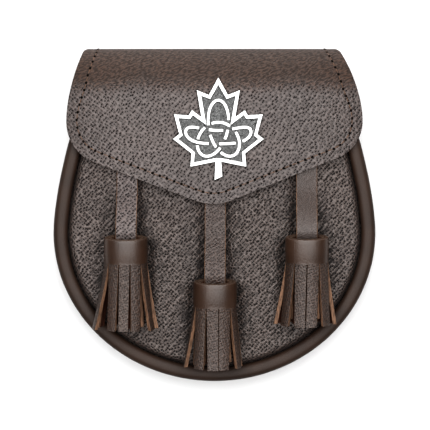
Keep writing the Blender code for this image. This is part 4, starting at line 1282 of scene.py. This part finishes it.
def make_inner_strips(side, row, seed):
    """The rolled leather's inner turn of strips, seen through the slits."""
    chance = random.Random(seed + INNER_SEED)
    bm = bmesh.new()
    rows = 10
    root = HEAD_LENGTH - INNER_TUCK

    def place(flat, along):
        p = tassel_place(row, flat, along)
        p.z = max(p.z, ground_height(p.x, p.y) + TASSEL_CLEARANCE)
        return p

    for j in range(INNER_STRIPS):
        angle = 2 * math.pi * (j + 0.5) / INNER_STRIPS
        middle = Vector((
            (HEAD_HALF_WIDTH - INNER_DEPTH) * math.sin(angle),
            (HEAD_HALF_DEPTH - INNER_DEPTH) * math.cos(angle),
        ))
        out = middle.normalized()
        aside = Vector((out.y, -out.x))
        length = row["length"] / math.cos(HEAD_TILT) - chance.uniform(*INNER_SHORTER)
        shift = Vector((row["flare"] * spread(middle.x) * INNER_SPREAD, max(middle.y, 0.0) * STRIP_SWELL))
        grid_out, grid_in, flat = [], [], []
        for i in range(rows + 1):
            share = i / rows
            along = root + (length - root) * share
            line = [middle + shift * share + aside * INNER_WIDTH * (n / 2 - 0.5) for n in range(3)]
            grid_out.append([place(p, along) for p in line])
            grid_in.append([place(p - out * INNER_THICK, along) for p in line])
            flat.append([(p.x, -along) for p in line])
        for outer_line, inner_line in zip(grid_out, grid_in):
            for a, b in zip(outer_line, inner_line):
                if (a - b).length < INNER_LEAST:
                    a.z += INNER_LIFT
        add_wall(bm, grid_out, grid_in, flat)
    return finish_mesh("tassel_inner_strips_" + side, bm, hide_cut("flesh_side"), CUT_SHARP)


def make_strap_carrier():
    """Band across the back for the belt strap."""
    low = CARRIER_THICK / 2
    high = DISH_DEPTH - GAP - CARRIER_THICK / 2
    half = CARRIER_FLAT / 2
    stations = ((half, low), (half + CARRIER_RAMP, high), (half + CARRIER_RAMP + CARRIER_FLANGE, high))
    path = [Vector((CARRIER_Y - y, z)) for y, z in reversed(stations)]
    path += [Vector((CARRIER_Y + y, z)) for y, z in stations]
    section = wall_section(path, CARRIER_THICK)
    columns = 40
    rings, flat = [], []
    for i in range(columns + 1):
        x = CARRIER_HALF_LENGTH * (2 * i / columns - 1)
        rings.append([Vector((x, p.x, p.y)) for p in section])
        flat.append([(x, p.x) for p in section])
    band = make_sweep("strap_carrier_leather", rings, flat, "smooth", CUT_SHARP)
    return round_edges(band, CARRIER_ROUNDING, angle=25.0)


# Badge

def leaf_outline(with_stem):
    """The leaf's corners, clockwise from its top tip, about the badge's middle."""
    right = [Vector((x * LEAF_HALF_WIDTH, y * LEAF_HALF_HEIGHT)) for _, x, y in LEAF]
    left = [Vector((-p.x, p.y)) for p in reversed(right[1:])]
    stem = [Vector((x * LEAF_HALF_WIDTH, y * LEAF_HALF_HEIGHT)) for x, y in STEM_END]
    return right + (stem if with_stem else []) + left


def shrink(points, distance):
    """A clockwise closed outline moved inwards by a distance, its corners mitred."""
    result = []
    for i, point in enumerate(points):
        before = (point - points[i - 1]).normalized()
        after = (points[(i + 1) % len(points)] - point).normalized()
        mitre = (before + after).normalized()
        reach = distance / mitre.dot(before)
        result.append(point + Vector((mitre.y, -mitre.x)) * reach)
    return result


def knot_strands():
    """Two closed strands: a three-lobed knot and a wide ring woven through it."""
    angles = [2 * math.pi * i / STRAND_POINTS for i in range(STRAND_POINTS)]
    lobes = [
        Vector((
            KNOT_HALF_WIDTH * (math.sin(a) + 2 * math.sin(2 * a)) / 3,
            KNOT_HEIGHT * (2 * math.cos(2 * a) - math.cos(a)) / 3 + KNOT_MIDDLE_Y,
        ))
        for a in angles
    ]
    ring = [
        Vector((
            RING_HALF_WIDTH * math.cos(a),
            RING_MIDDLE_Y + RING_WAIST * math.sin(a) * (1 + math.cos(a) ** 2) + RING_LIFT * math.cos(a) ** 2,
        ))
        for a in angles
    ]
    return [lobes, ring]


def strand_crossings(strands):
    """For each strand its crossings in order: place along it, whether it passes over, sine of the angle."""
    segments = [
        (s, i, strand[i], strand[(i + 1) % len(strand)])
        for s, strand in enumerate(strands)
        for i in range(len(strand))
    ]
    meets = []
    for a, (sa, ia, p, q) in enumerate(segments):
        for sb, ib, r, s in segments[a + 2:]:
            if sa == sb and ib - ia == len(strands[sa]) - 1:
                continue
            u, v, w = q - p, s - r, r - p
            cross = u.cross(v)
            if abs(cross) < 1e-14:
                continue
            t, k = w.cross(v) / cross, w.cross(u) / cross
            if 0 <= t < 1 and 0 <= k < 1:
                sine = abs(cross) / u.length / v.length
                meets.append(((sa, ia + t), (sb, ib + k), sine))
    visits = [[] for _ in strands]
    for m, (first, second, sine) in enumerate(meets):
        visits[first[0]].append((first[1], m, 0, sine))
        visits[second[0]].append((second[1], m, 1, sine))
    upper = {}
    result = []
    for visit in visits:
        visit.sort()
        over_first = True
        for n, (_, m, end, _) in enumerate(visit):
            if m in upper:
                over_first = (upper[m] == end) == (n % 2 == 0)
                break
        row = []
        for n, (place, m, end, sine) in enumerate(visit):
            over = over_first == (n % 2 == 0)
            upper[m] = end if over else 1 - end
            row.append((place, over, sine))
        result.append(row)
    return result


def knot_bands(step_length):
    """Middle lines of the raised bands: each strand broken where it passes under."""
    strands = knot_strands()
    bands = []
    for strand, crossings in zip(strands, strand_crossings(strands)):
        count = len(strand)
        step = sum((strand[i] - strand[i - 1]).length for i in range(count)) / count
        unders = [(place, sine) for place, over, sine in crossings if not over]
        for i, (place, sine) in enumerate(unders):
            next_place, next_sine = unders[(i + 1) % len(unders)]
            if i == len(unders) - 1:
                next_place += count
            start = place + (KNOT_WIDTH / 2 * (2 - sine) + KNOT_GAP) / sine / step
            end = next_place - (KNOT_WIDTH / 2 * (2 - next_sine) + KNOT_GAP) / next_sine / step
            line = []
            for n in range(int(end - start) + 1):
                at = start + n
                low = int(at) % count
                line.append(strand[low].lerp(strand[(low + 1) % count], at - int(at)))
            length = sum((b - a).length for a, b in zip(line, line[1:]))
            bands.append(resample(line, max(4, round(length / step_length))))
    return bands


def add_strand(bm, band, ground):
    """A raised strand along a middle line, its flanks dark."""
    loops = []
    for i, point in enumerate(band):
        along = (band[min(i + 1, len(band) - 1)] - band[max(i - 1, 0)]).normalized()
        aside = Vector((-along.y, along.x)) * KNOT_WIDTH / 2
        rise = KNOT_RISE * (STRAND_END_RISE if i in (0, len(band) - 1) else 1.0)
        loops.append([
            bm.verts.new((point.x + aside.x * share, point.y + aside.y * share, ground + rise * height))
            for share, height in STRAND_SECTION
        ])
    count = len(STRAND_SECTION)
    for a, b in zip(loops, loops[1:]):
        for n in range(count):
            m = (n + 1) % count
            add_face(bm, 1 if n in (0, count - 2, count - 1) else 0, a[n], a[m], b[m], b[n])
    add_face(bm, 1, *loops[0])
    add_face(bm, 1, *loops[-1])


def make_badge():
    """Cast leaf: plate with a rounded rim, sunk ground, raised interlace and two posts."""
    base = flap_height(BADGE_X) + GAP
    ground = base + BADGE_PLATE
    top = base + BADGE_THICK
    place = Vector((BADGE_X, BADGE_Y))
    bm = bmesh.new()

    def loop(points, z):
        return [bm.verts.new((p.x + place.x, p.y + place.y, z)) for p in points]

    whole, blade = leaf_outline(True), leaf_outline(False)
    outer = [loop(whole, base)] + [loop(shrink(whole, d), top - drop) for d, drop in RIM_STEPS]
    for lower, upper in zip(outer, outer[1:]):
        add_skin(bm, upper, lower, 0)
    bm.faces.new(outer[0])
    inner = [loop(shrink(blade, BADGE_RIM - d), top - drop) for d, drop in reversed(RIM_STEPS)]
    inner.append(loop(shrink(blade, BADGE_RIM + RIM_DRAFT), ground))
    for upper, lower in zip(inner, inner[1:]):
        add_skin(bm, upper, lower, 0 if upper is not inner[-2] else 1)
    add_face(bm, 2, *inner[-1])
    crest, valley = outer[-1], inner[0]
    root = len(LEAF) - 1
    for k in range(len(valley)):
        m = (k + 1) % len(valley)
        a = k if k <= root else k + 2
        b = m if m <= root else m + 2
        if k == root:
            add_face(bm, 0, *crest[root:root + 4], valley[m], valley[k])
        else:
            add_face(bm, 0, crest[a], crest[b], valley[m], valley[k])
    for band in knot_bands(STRAND_STEP):
        add_strand(bm, [place + p for p in band], ground)
    for side in (-1, 1):
        post = arc((side * POST_SPACING / 2, 0.0), POST_RADIUS, 0.0, 2 * math.pi, 24)[:-1]
        low = loop(post, flap_height(BADGE_X) - FLAP_THICK - POST_END)
        high = loop(post, base + BADGE_PLATE / 2)
        add_skin(bm, low, high, 0)
        bm.faces.new(low)
        bm.faces.new(high)
    return finish_mesh("leaf_badge_cast", bm, [pewter(kind) for kind in PEWTERS], CAST_SHARP)


# Stitches by Geometry Nodes

def stitch_tree():
    """Stitches from hole to hole along a line of edges, each hole a small near-black spheroid of painted shade.
    """
    tree = bpy.data.node_groups.new("stitch_line", "GeometryNodeTree")
    tree.interface.new_socket("Line", in_out="INPUT", socket_type="NodeSocketGeometry")
    for name, default in STITCH_SIZES.items():
        socket = tree.interface.new_socket(name, in_out="INPUT", socket_type="NodeSocketFloat")
        socket.default_value = default
        socket.subtype = "DISTANCE"
    for name in ("Thread", "Hole"):
        tree.interface.new_socket(name, in_out="INPUT", socket_type="NodeSocketMaterial")
    tree.interface.new_socket("Stitches", in_out="OUTPUT", socket_type="NodeSocketGeometry")
    given = tree.nodes.new("NodeGroupInput").outputs
    made = tree.nodes.new("NodeGroupOutput")

    def step(kind, inputs=None, **settings):
        return add_node(tree, kind, inputs, **settings).outputs[0]

    line = step("GeometryNodeMeshToCurve", {0: given["Line"]})
    line = step("GeometryNodeResampleCurve", {"Curve": line, "Length": given["Pitch"]}, mode="LENGTH")
    here = step("GeometryNodeInputPosition")
    following = calculate(tree, "ADD", step("GeometryNodeInputIndex"), 1.0)
    there = add_node(tree, "GeometryNodeFieldAtIndex", data_type="FLOAT_VECTOR", domain="POINT")
    tree.links.new(following, there.inputs["Index"])
    tree.links.new(here, there.inputs["Value"])
    forward = calculate_vector(tree, "SUBTRACT", there.outputs[0], here)
    up = step("GeometryNodeInputNamedAttribute", {"Name": "surface_normal"}, data_type="FLOAT_VECTOR")
    turn = step("FunctionNodeAlignRotationToVector", {"Vector": forward}, axis="X")
    turn = step("FunctionNodeAlignRotationToVector", {"Rotation": turn, "Vector": up},
                axis="Z", pivot_axis="X")
    last = step("GeometryNodeCurveEndpointSelection", {0: 0, 1: 1})
    inside = step("FunctionNodeBooleanMath", {0: last}, operation="NOT")
    dip = calculate(tree, "MULTIPLY", given["Dip"], -1.0)
    rise = calculate(tree, "MULTIPLY_ADD", given["Rise"], 2.0, given["Dip"])
    halfway = calculate(tree, "MULTIPLY", given["Pitch"], 0.5)
    bend = step("GeometryNodeCurveQuadraticBezier", {
        "Resolution": 6,
        "Start": step("ShaderNodeCombineXYZ", {2: dip}),
        "Middle": step("ShaderNodeCombineXYZ", {0: halfway, 2: rise}),
        "End": step("ShaderNodeCombineXYZ", {0: given["Pitch"], 2: dip}),
    })
    ring = step("GeometryNodeCurvePrimitiveCircle", {"Resolution": 6, "Radius": given["Thread Radius"]},
                mode="RADIUS")
    stitch = step("GeometryNodeCurveToMesh", {"Curve": bend, "Profile Curve": ring, "Fill Caps": True})
    stitch = step("GeometryNodeSetMaterial", {"Geometry": stitch, "Material": given["Thread"]})
    stitches = step("GeometryNodeInstanceOnPoints", {
        "Points": line, "Selection": inside, "Instance": stitch, "Rotation": turn})
    # Near-black spheroids at the holes: painted shade standing for each needle hole.
    pit = step("GeometryNodeMeshUVSphere", {"Segments": 10, "Rings": 6, "Radius": given["Hole Radius"]})
    pit = step("GeometryNodeTransform", {"Geometry": pit, "Scale": HOLE_SHAPE})
    pit = step("GeometryNodeSetMaterial", {"Geometry": pit, "Material": given["Hole"]})
    pits = step("GeometryNodeInstanceOnPoints", {"Points": line, "Instance": pit, "Rotation": turn})
    joined = tree.nodes.new("GeometryNodeJoinGeometry")
    tree.links.new(stitches, joined.inputs[0])
    tree.links.new(pits, joined.inputs[0])
    real = step("GeometryNodeRealizeInstances", {0: joined.outputs[0]})
    tree.links.new(step("GeometryNodeSetShadeSmooth", {0: real}), made.inputs[0])
    return tree


def sew(name, lines, slot):
    """Runs the stitch tree along lines of (point, surface normal), as one plain mesh."""
    bm = bmesh.new()
    layer = bm.verts.layers.float_vector.new("surface_normal")
    for line in lines:
        last = None
        for point, normal in line:
            v = bm.verts.new(point)
            v[layer] = normal
            if last:
                bm.edges.new((last, v))
            last = v
    mesh = bpy.data.meshes.new(name + "_line")
    bm.to_mesh(mesh)
    bm.free()
    guide = add_object(name + "_line", mesh)
    tree = bpy.data.node_groups.get("stitch_line") or stitch_tree()
    modifier = guide.modifiers.new("stitches", "NODES")
    modifier.node_group = tree
    s = settings()
    thread = bpy.data.materials.get("sewing_thread") or thread_material(tuple(s.thread_colour))
    # The holes' near-black material is painted shade.
    hole = bpy.data.materials.get("needle_hole")
    if hole is None:
        hole, _, shader = plain_shader("needle_hole", roughness=0.9, specular=0.1)
        shader.inputs["Base Color"].default_value = HOLE_SHADE_COLOUR
    values = {"Pitch": s.stitch_pitch, "Thread Radius": s.thread_radius, "Thread": thread, "Hole": hole}
    for item in tree.interface.items_tree:
        if item.in_out == "INPUT" and item.name in values:
            modifier[item.identifier] = values[item.name]
    graph = bpy.context.evaluated_depsgraph_get()
    plain = bpy.data.meshes.new_from_object(guide.evaluated_get(graph))
    if not plain.polygons:
        raise RuntimeError("the stitch tree made nothing for " + name)
    bpy.data.objects.remove(guide, do_unlink=True)
    plain.name = name
    return stand_for(add_object(name, plain), slot)


def flap_stitch_line(inset):
    """Points and normals of the seam that runs round the flap inside its edge, from tail to tail."""
    side, lower = flap_edges()
    edge = resample(side + lower[1:], FINE)
    front = []
    for i, p in enumerate(edge):
        direction = (edge[min(i + 1, len(edge) - 1)] - edge[max(i - 1, 0)]).normalized()
        inside = inset + SEAM_DRIFT * ease((p.y - FLAP_WIDEST_Y) / (FOLD_Y - FLAP_WIDEST_Y))
        q = p + Vector((direction.y, -direction.x)) * inside
        if q.x >= 0.0:
            front.append(q)
    front.append(Vector((0.0, FLAP_TIP_Y + inset)))
    line = []
    steps = 30
    for i in range(steps + 1):
        angle = math.pi * (i / steps - 0.5)
        y = FOLD_Y + FOLD_REACH * math.cos(angle)
        behind = (TAIL_NARROWING + FOLD_CORNER) * ease(-angle / (math.pi / 2))
        x = (flap_slant(y) if angle >= 0 else flap_slant(FLAP_TOP_Y) - behind) - inset - SEAM_DRIFT
        height = flap_height(x)
        turn = (1 + math.sin(angle)) / 2
        normal = Vector((0.0, math.cos(angle) * height / 2, math.sin(angle) * FOLD_REACH)).normalized()
        line.append((Vector((x, y, height * turn)), normal))
    for q in front[1:]:
        slope = (flap_height(q.x + SLOPE_STEP) - flap_height(q.x - SLOPE_STEP)) / (2 * SLOPE_STEP)
        line.append((Vector((q.x, q.y, flap_height(q.x))), Vector((-slope, 0.0, 1.0)).normalized()))
    line += [(Vector((-p.x, p.y, p.z)), Vector((-n.x, n.y, n.z))) for p, n in reversed(line[:-1])]
    return [(settled_seam(p), n) for p, n in line]


def settled_seam(point):
    """A seam's point moved with the flap."""
    if point.z < flap_height(point.x) / 2:
        return point + Vector((FLAP_LEAN, 0.0, 0.0))
    place = settled(point)
    return Vector((place.x, place.y, point.z))


def back_stitch_line(inset):
    """Seam round the back panel's rim."""
    return [
        (Vector((p.x, p.y, back_height(p.x, p.y))), Vector((0.0, 0.0, -1.0)))
        for p in (on_spoke(point, inset) for point in outline(SEAM_STATIONS)) if p.y < TAIL_Y - BACK_SEAM_END
    ]


# Settings, operators and panel

def colour_setting(name, description, default):
    """A colour in the panel."""
    return FloatVectorProperty(
        name=name, description=description, subtype="COLOR", size=3, default=default, min=0.0, max=1.0)


def length_setting(name, description, default, least, most):
    """A length in the panel, in metres."""
    return FloatProperty(
        name=name, description=description, subtype="DISTANCE", unit="LENGTH",
        default=default, min=least, max=most)


class SporranSettings(bpy.types.PropertyGroup):
    """Colours, grain, stitches and light of the sporran."""
    grained_colour: colour_setting("Grained leather", "Colour of the pebbled hide", (0.050, 0.0385, 0.0345))
    # The fold's colour is set far darker than the leather: painted shade on the fold.
    fold_shade_colour: colour_setting("Fold", "Browner colour of the leather's fold", (0.019, 0.0085, 0.0042))
    smooth_colour: colour_setting("Smooth leather", "Colour of the roll and heads", (0.033, 0.0175, 0.0108))
    edge_colour: colour_setting("Cut edge", "Colour of the leather's cut edges", (0.15, 0.088, 0.056))
    # Drawn dark reddish, darker than the flesh side shows under light: painted shade where it shows in slits
    # and hollows.
    flesh_shade_colour: colour_setting("Flesh side", "Colour of the leather's inner side", (0.050, 0.018, 0.009))
    thread_colour: colour_setting("Thread", "Colour of the sewing thread", (0.085, 0.042, 0.020))
    pewter_colour: colour_setting("Pewter", "Colour of the polished metal", (0.40, 0.40, 0.396))
    oxide_colour: colour_setting("Oxide", "Colour of the metal left dark in the recesses", (0.05, 0.05, 0.05))
    gloss: FloatProperty(
        name="Roughness", description="Roughness of the leather's finish", subtype="FACTOR",
        default=0.46, min=0.05, max=1.0)
    pore_spacing: length_setting("Pore spacing", "Distance from pore to pore", 0.0016, 0.0005, 0.01)
    pore_depth: FloatProperty(
        name="Pore depth", description="Depth of the pores as a share of the bump's height", subtype="FACTOR",
        default=0.9, min=0.0, max=3.0)
    stitch_pitch: length_setting("Stitch pitch", "Distance from hole to hole", 0.0044, 0.001, 0.01)
    stitch_inset: length_setting("Stitch inset", "Distance of the seam from the edge", 0.0060, 0.002, 0.02)
    thread_radius: length_setting("Thread radius", "Radius of the sewing thread", 0.00022, 0.0001, 0.001)
    chance_seed: IntProperty(
        name="Seed", description="Seed of the tassel strips' small differences", default=7, min=0)
    floor_size: length_setting("Floor", "Length of the floor's sides", 4.0, 1.0, 20.0)
    sky_strength: FloatProperty(
        name="Sky", description="Strength of the even light from all round", default=0.06, min=0.0)
    overhead_power: FloatProperty(
        name="Overhead light", description="Power of the soft light above", unit="POWER",
        default=32.0, min=0.0)
    top_power: FloatProperty(
        name="Upper light", description="Power of the soft light beyond the flap's fold", unit="POWER",
        default=10.0, min=0.0)


class SPORRAN_OT_front_panel(bpy.types.Operator):
    """Make the front panel"""
    bl_idname = "sporran.front_panel"
    bl_label = "Front panel"

    def execute(self, context):
        stand_for(make_front_panel(), "grained_leather", "front_panel")
        return {"FINISHED"}


class SPORRAN_OT_back_panel(bpy.types.Operator):
    """Make the back panel and its seam"""
    bl_idname = "sporran.back_panel"
    bl_label = "Back panel"

    def execute(self, context):
        stand_for(make_back_panel(), "grained_leather", "back_panel")
        sew("back_seam", [back_stitch_line(BACK_SEAM_INSET)], "smooth_leather")
        return {"FINISHED"}


class SPORRAN_OT_gusset(bpy.types.Operator):
    """Make the gusset and the edge roll"""
    bl_idname = "sporran.gusset"
    bl_label = "Gusset and edge roll"

    def execute(self, context):
        stand_for(make_gusset(), "grained_leather", "gusset")
        stand_for(make_edge_roll(), "smooth_leather", "edge_roll")
        return {"FINISHED"}


class SPORRAN_OT_flap(bpy.types.Operator):
    """Make the flap and its seam"""
    bl_idname = "sporran.flap"
    bl_label = "Flap"

    def execute(self, context):
        stand_for(make_flap(), "grained_leather", "flap")
        sew("flap_seam", [flap_stitch_line(settings().stitch_inset)], "smooth_leather")
        return {"FINISHED"}


class SPORRAN_OT_straps(bpy.types.Operator):
    """Make the three tassel straps"""
    bl_idname = "sporran.straps"
    bl_label = "Straps"

    def execute(self, context):
        for side, row in TASSELS.items():
            stand_for(make_strap(side, row), "grained_leather", "strap_" + side)
        return {"FINISHED"}


class SPORRAN_OT_tassels(bpy.types.Operator):
    """Make the three tassels with both layers of strips"""
    bl_idname = "sporran.tassels"
    bl_label = "Tassels"

    def execute(self, context):
        for n, (side, row) in enumerate(TASSELS.items()):
            seed = settings().chance_seed + n
            stand_for(make_tassel(side, row, seed), "smooth_leather", "tassel_" + side)
            stand_for(make_inner_strips(side, row, seed), "smooth_leather")
        return {"FINISHED"}


class SPORRAN_OT_strap_carrier(bpy.types.Operator):
    """Make the carrier on the back with its two seams"""
    bl_idname = "sporran.strap_carrier"
    bl_label = "Strap carrier"

    def execute(self, context):
        stand_for(make_strap_carrier(), "smooth_leather", "strap_carrier")
        reach = CARRIER_FLAT / 2 + CARRIER_RAMP + CARRIER_FLANGE / 2
        z = DISH_DEPTH - GAP - CARRIER_THICK
        end = CARRIER_HALF_LENGTH - CARRIER_SEAM_END
        lines = [
            [(Vector((x, CARRIER_Y + side * reach, z)), Vector((0.0, 0.0, -1.0))) for x in (-end, end)]
            for side in (-1, 1)
        ]
        sew("carrier_seams", lines, "smooth_leather")
        return {"FINISHED"}


class SPORRAN_OT_badge(bpy.types.Operator):
    """Make the cast leaf badge and finish the closure stud"""
    bl_idname = "sporran.badge"
    bl_label = "Badge and stud"

    def execute(self, context):
        stand_for(make_badge(), "pewter", "leaf_badge")
        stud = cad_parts["closure_stud"]
        for slot in stud.material_slots:
            slot.material = bpy.data.materials["pewter_polished"]
        return {"FINISHED"}


class SPORRAN_OT_stage(bpy.types.Operator):
    """Set the floor, the soft lights and the camera"""
    bl_idname = "sporran.stage"
    bl_label = "Stage"

    def execute(self, context):
        scene = context.scene
        s = settings()
        half = s.floor_size / 2
        mesh = bpy.data.meshes.new("floor")
        corners = [(x * half, y * half, FLOOR_Z) for x, y in ((-1, -1), (1, -1), (1, 1), (-1, 1))]
        mesh.from_pydata(corners, [], [(0, 1, 2, 3)])
        floor_mat, _, shader = plain_shader("floor_paper", roughness=0.9, specular=0.1)
        shader.inputs["Base Color"].default_value = (FLOOR_SHADE, FLOOR_SHADE, FLOOR_SHADE, 1.0)
        mesh.materials.append(floor_mat)
        floor = add_object("floor", mesh)
        world = bpy.data.worlds.new("studio")
        world.use_nodes = True
        sky = world.node_tree.nodes["Background"].inputs
        sky["Color"].default_value = (1.0, 1.0, 1.0, 1.0)
        sky["Strength"].default_value = s.sky_strength
        scene.world = world
        for name, row in LIGHTS.items():
            data = bpy.data.lights.new(name, "AREA")
            data.shape = "SQUARE"
            data.size = row["size"]
            data.energy = getattr(s, row["power"])
            light = add_object(name, data)
            light.location = row["place"]
            direction = Vector(row["aim"]) - Vector(row["place"])
            light.rotation_euler = direction.to_track_quat("-Z", "Y").to_euler()
            light.visible_camera = False
        data = bpy.data.cameras.new("camera")
        data.sensor_width = SENSOR
        data.lens = SENSOR * CAMERA_DISTANCE / PHOTO_WIDTH_M
        data.clip_end = 20.0
        camera = add_object("camera", data)
        camera.location = (*PHOTO_CENTRE, ROLL_Z + CAMERA_DISTANCE)
        scene.camera = camera
        scene.view_settings.view_transform = "Standard"
        scene.view_settings.look = "High Contrast"
        return {"FINISHED"}


STEPS = (
    SPORRAN_OT_front_panel, SPORRAN_OT_back_panel, SPORRAN_OT_gusset, SPORRAN_OT_flap, SPORRAN_OT_straps,
    SPORRAN_OT_tassels, SPORRAN_OT_strap_carrier, SPORRAN_OT_badge, SPORRAN_OT_stage,
)


class SPORRAN_PT_panel(bpy.types.Panel):
    """Lists the sizes, colours and steps"""
    bl_idname = "SPORRAN_PT_panel"
    bl_label = "Sporran pouch"
    bl_space_type = "VIEW_3D"
    bl_region_type = "UI"
    bl_category = "Sporran"

    def draw(self, context):
        for name in SporranSettings.__annotations__:
            self.layout.prop(context.scene.sporran, name)
        for step in STEPS:
            self.layout.operator(step.bl_idname)


def register():
    """Makes the settings, operators and panel known."""
    bpy.utils.register_class(SporranSettings)
    bpy.types.Scene.sporran = PointerProperty(type=SporranSettings)
    for step in STEPS:
        bpy.utils.register_class(step)
    bpy.utils.register_class(SPORRAN_PT_panel)


def unregister():
    """Takes them away again."""
    bpy.utils.unregister_class(SPORRAN_PT_panel)
    for step in reversed(STEPS):
        bpy.utils.unregister_class(step)
    del bpy.types.Scene.sporran
    bpy.utils.unregister_class(SporranSettings)


def main():
    """Dresses the part step by step."""
    register()
    bpy.ops.sporran.front_panel()
    bpy.ops.sporran.back_panel()
    bpy.ops.sporran.gusset()
    bpy.ops.sporran.flap()
    bpy.ops.sporran.straps()
    bpy.ops.sporran.tassels()
    bpy.ops.sporran.strap_carrier()
    bpy.ops.sporran.badge()
    bpy.ops.sporran.stage()


if __name__ == "__main__":
    main()
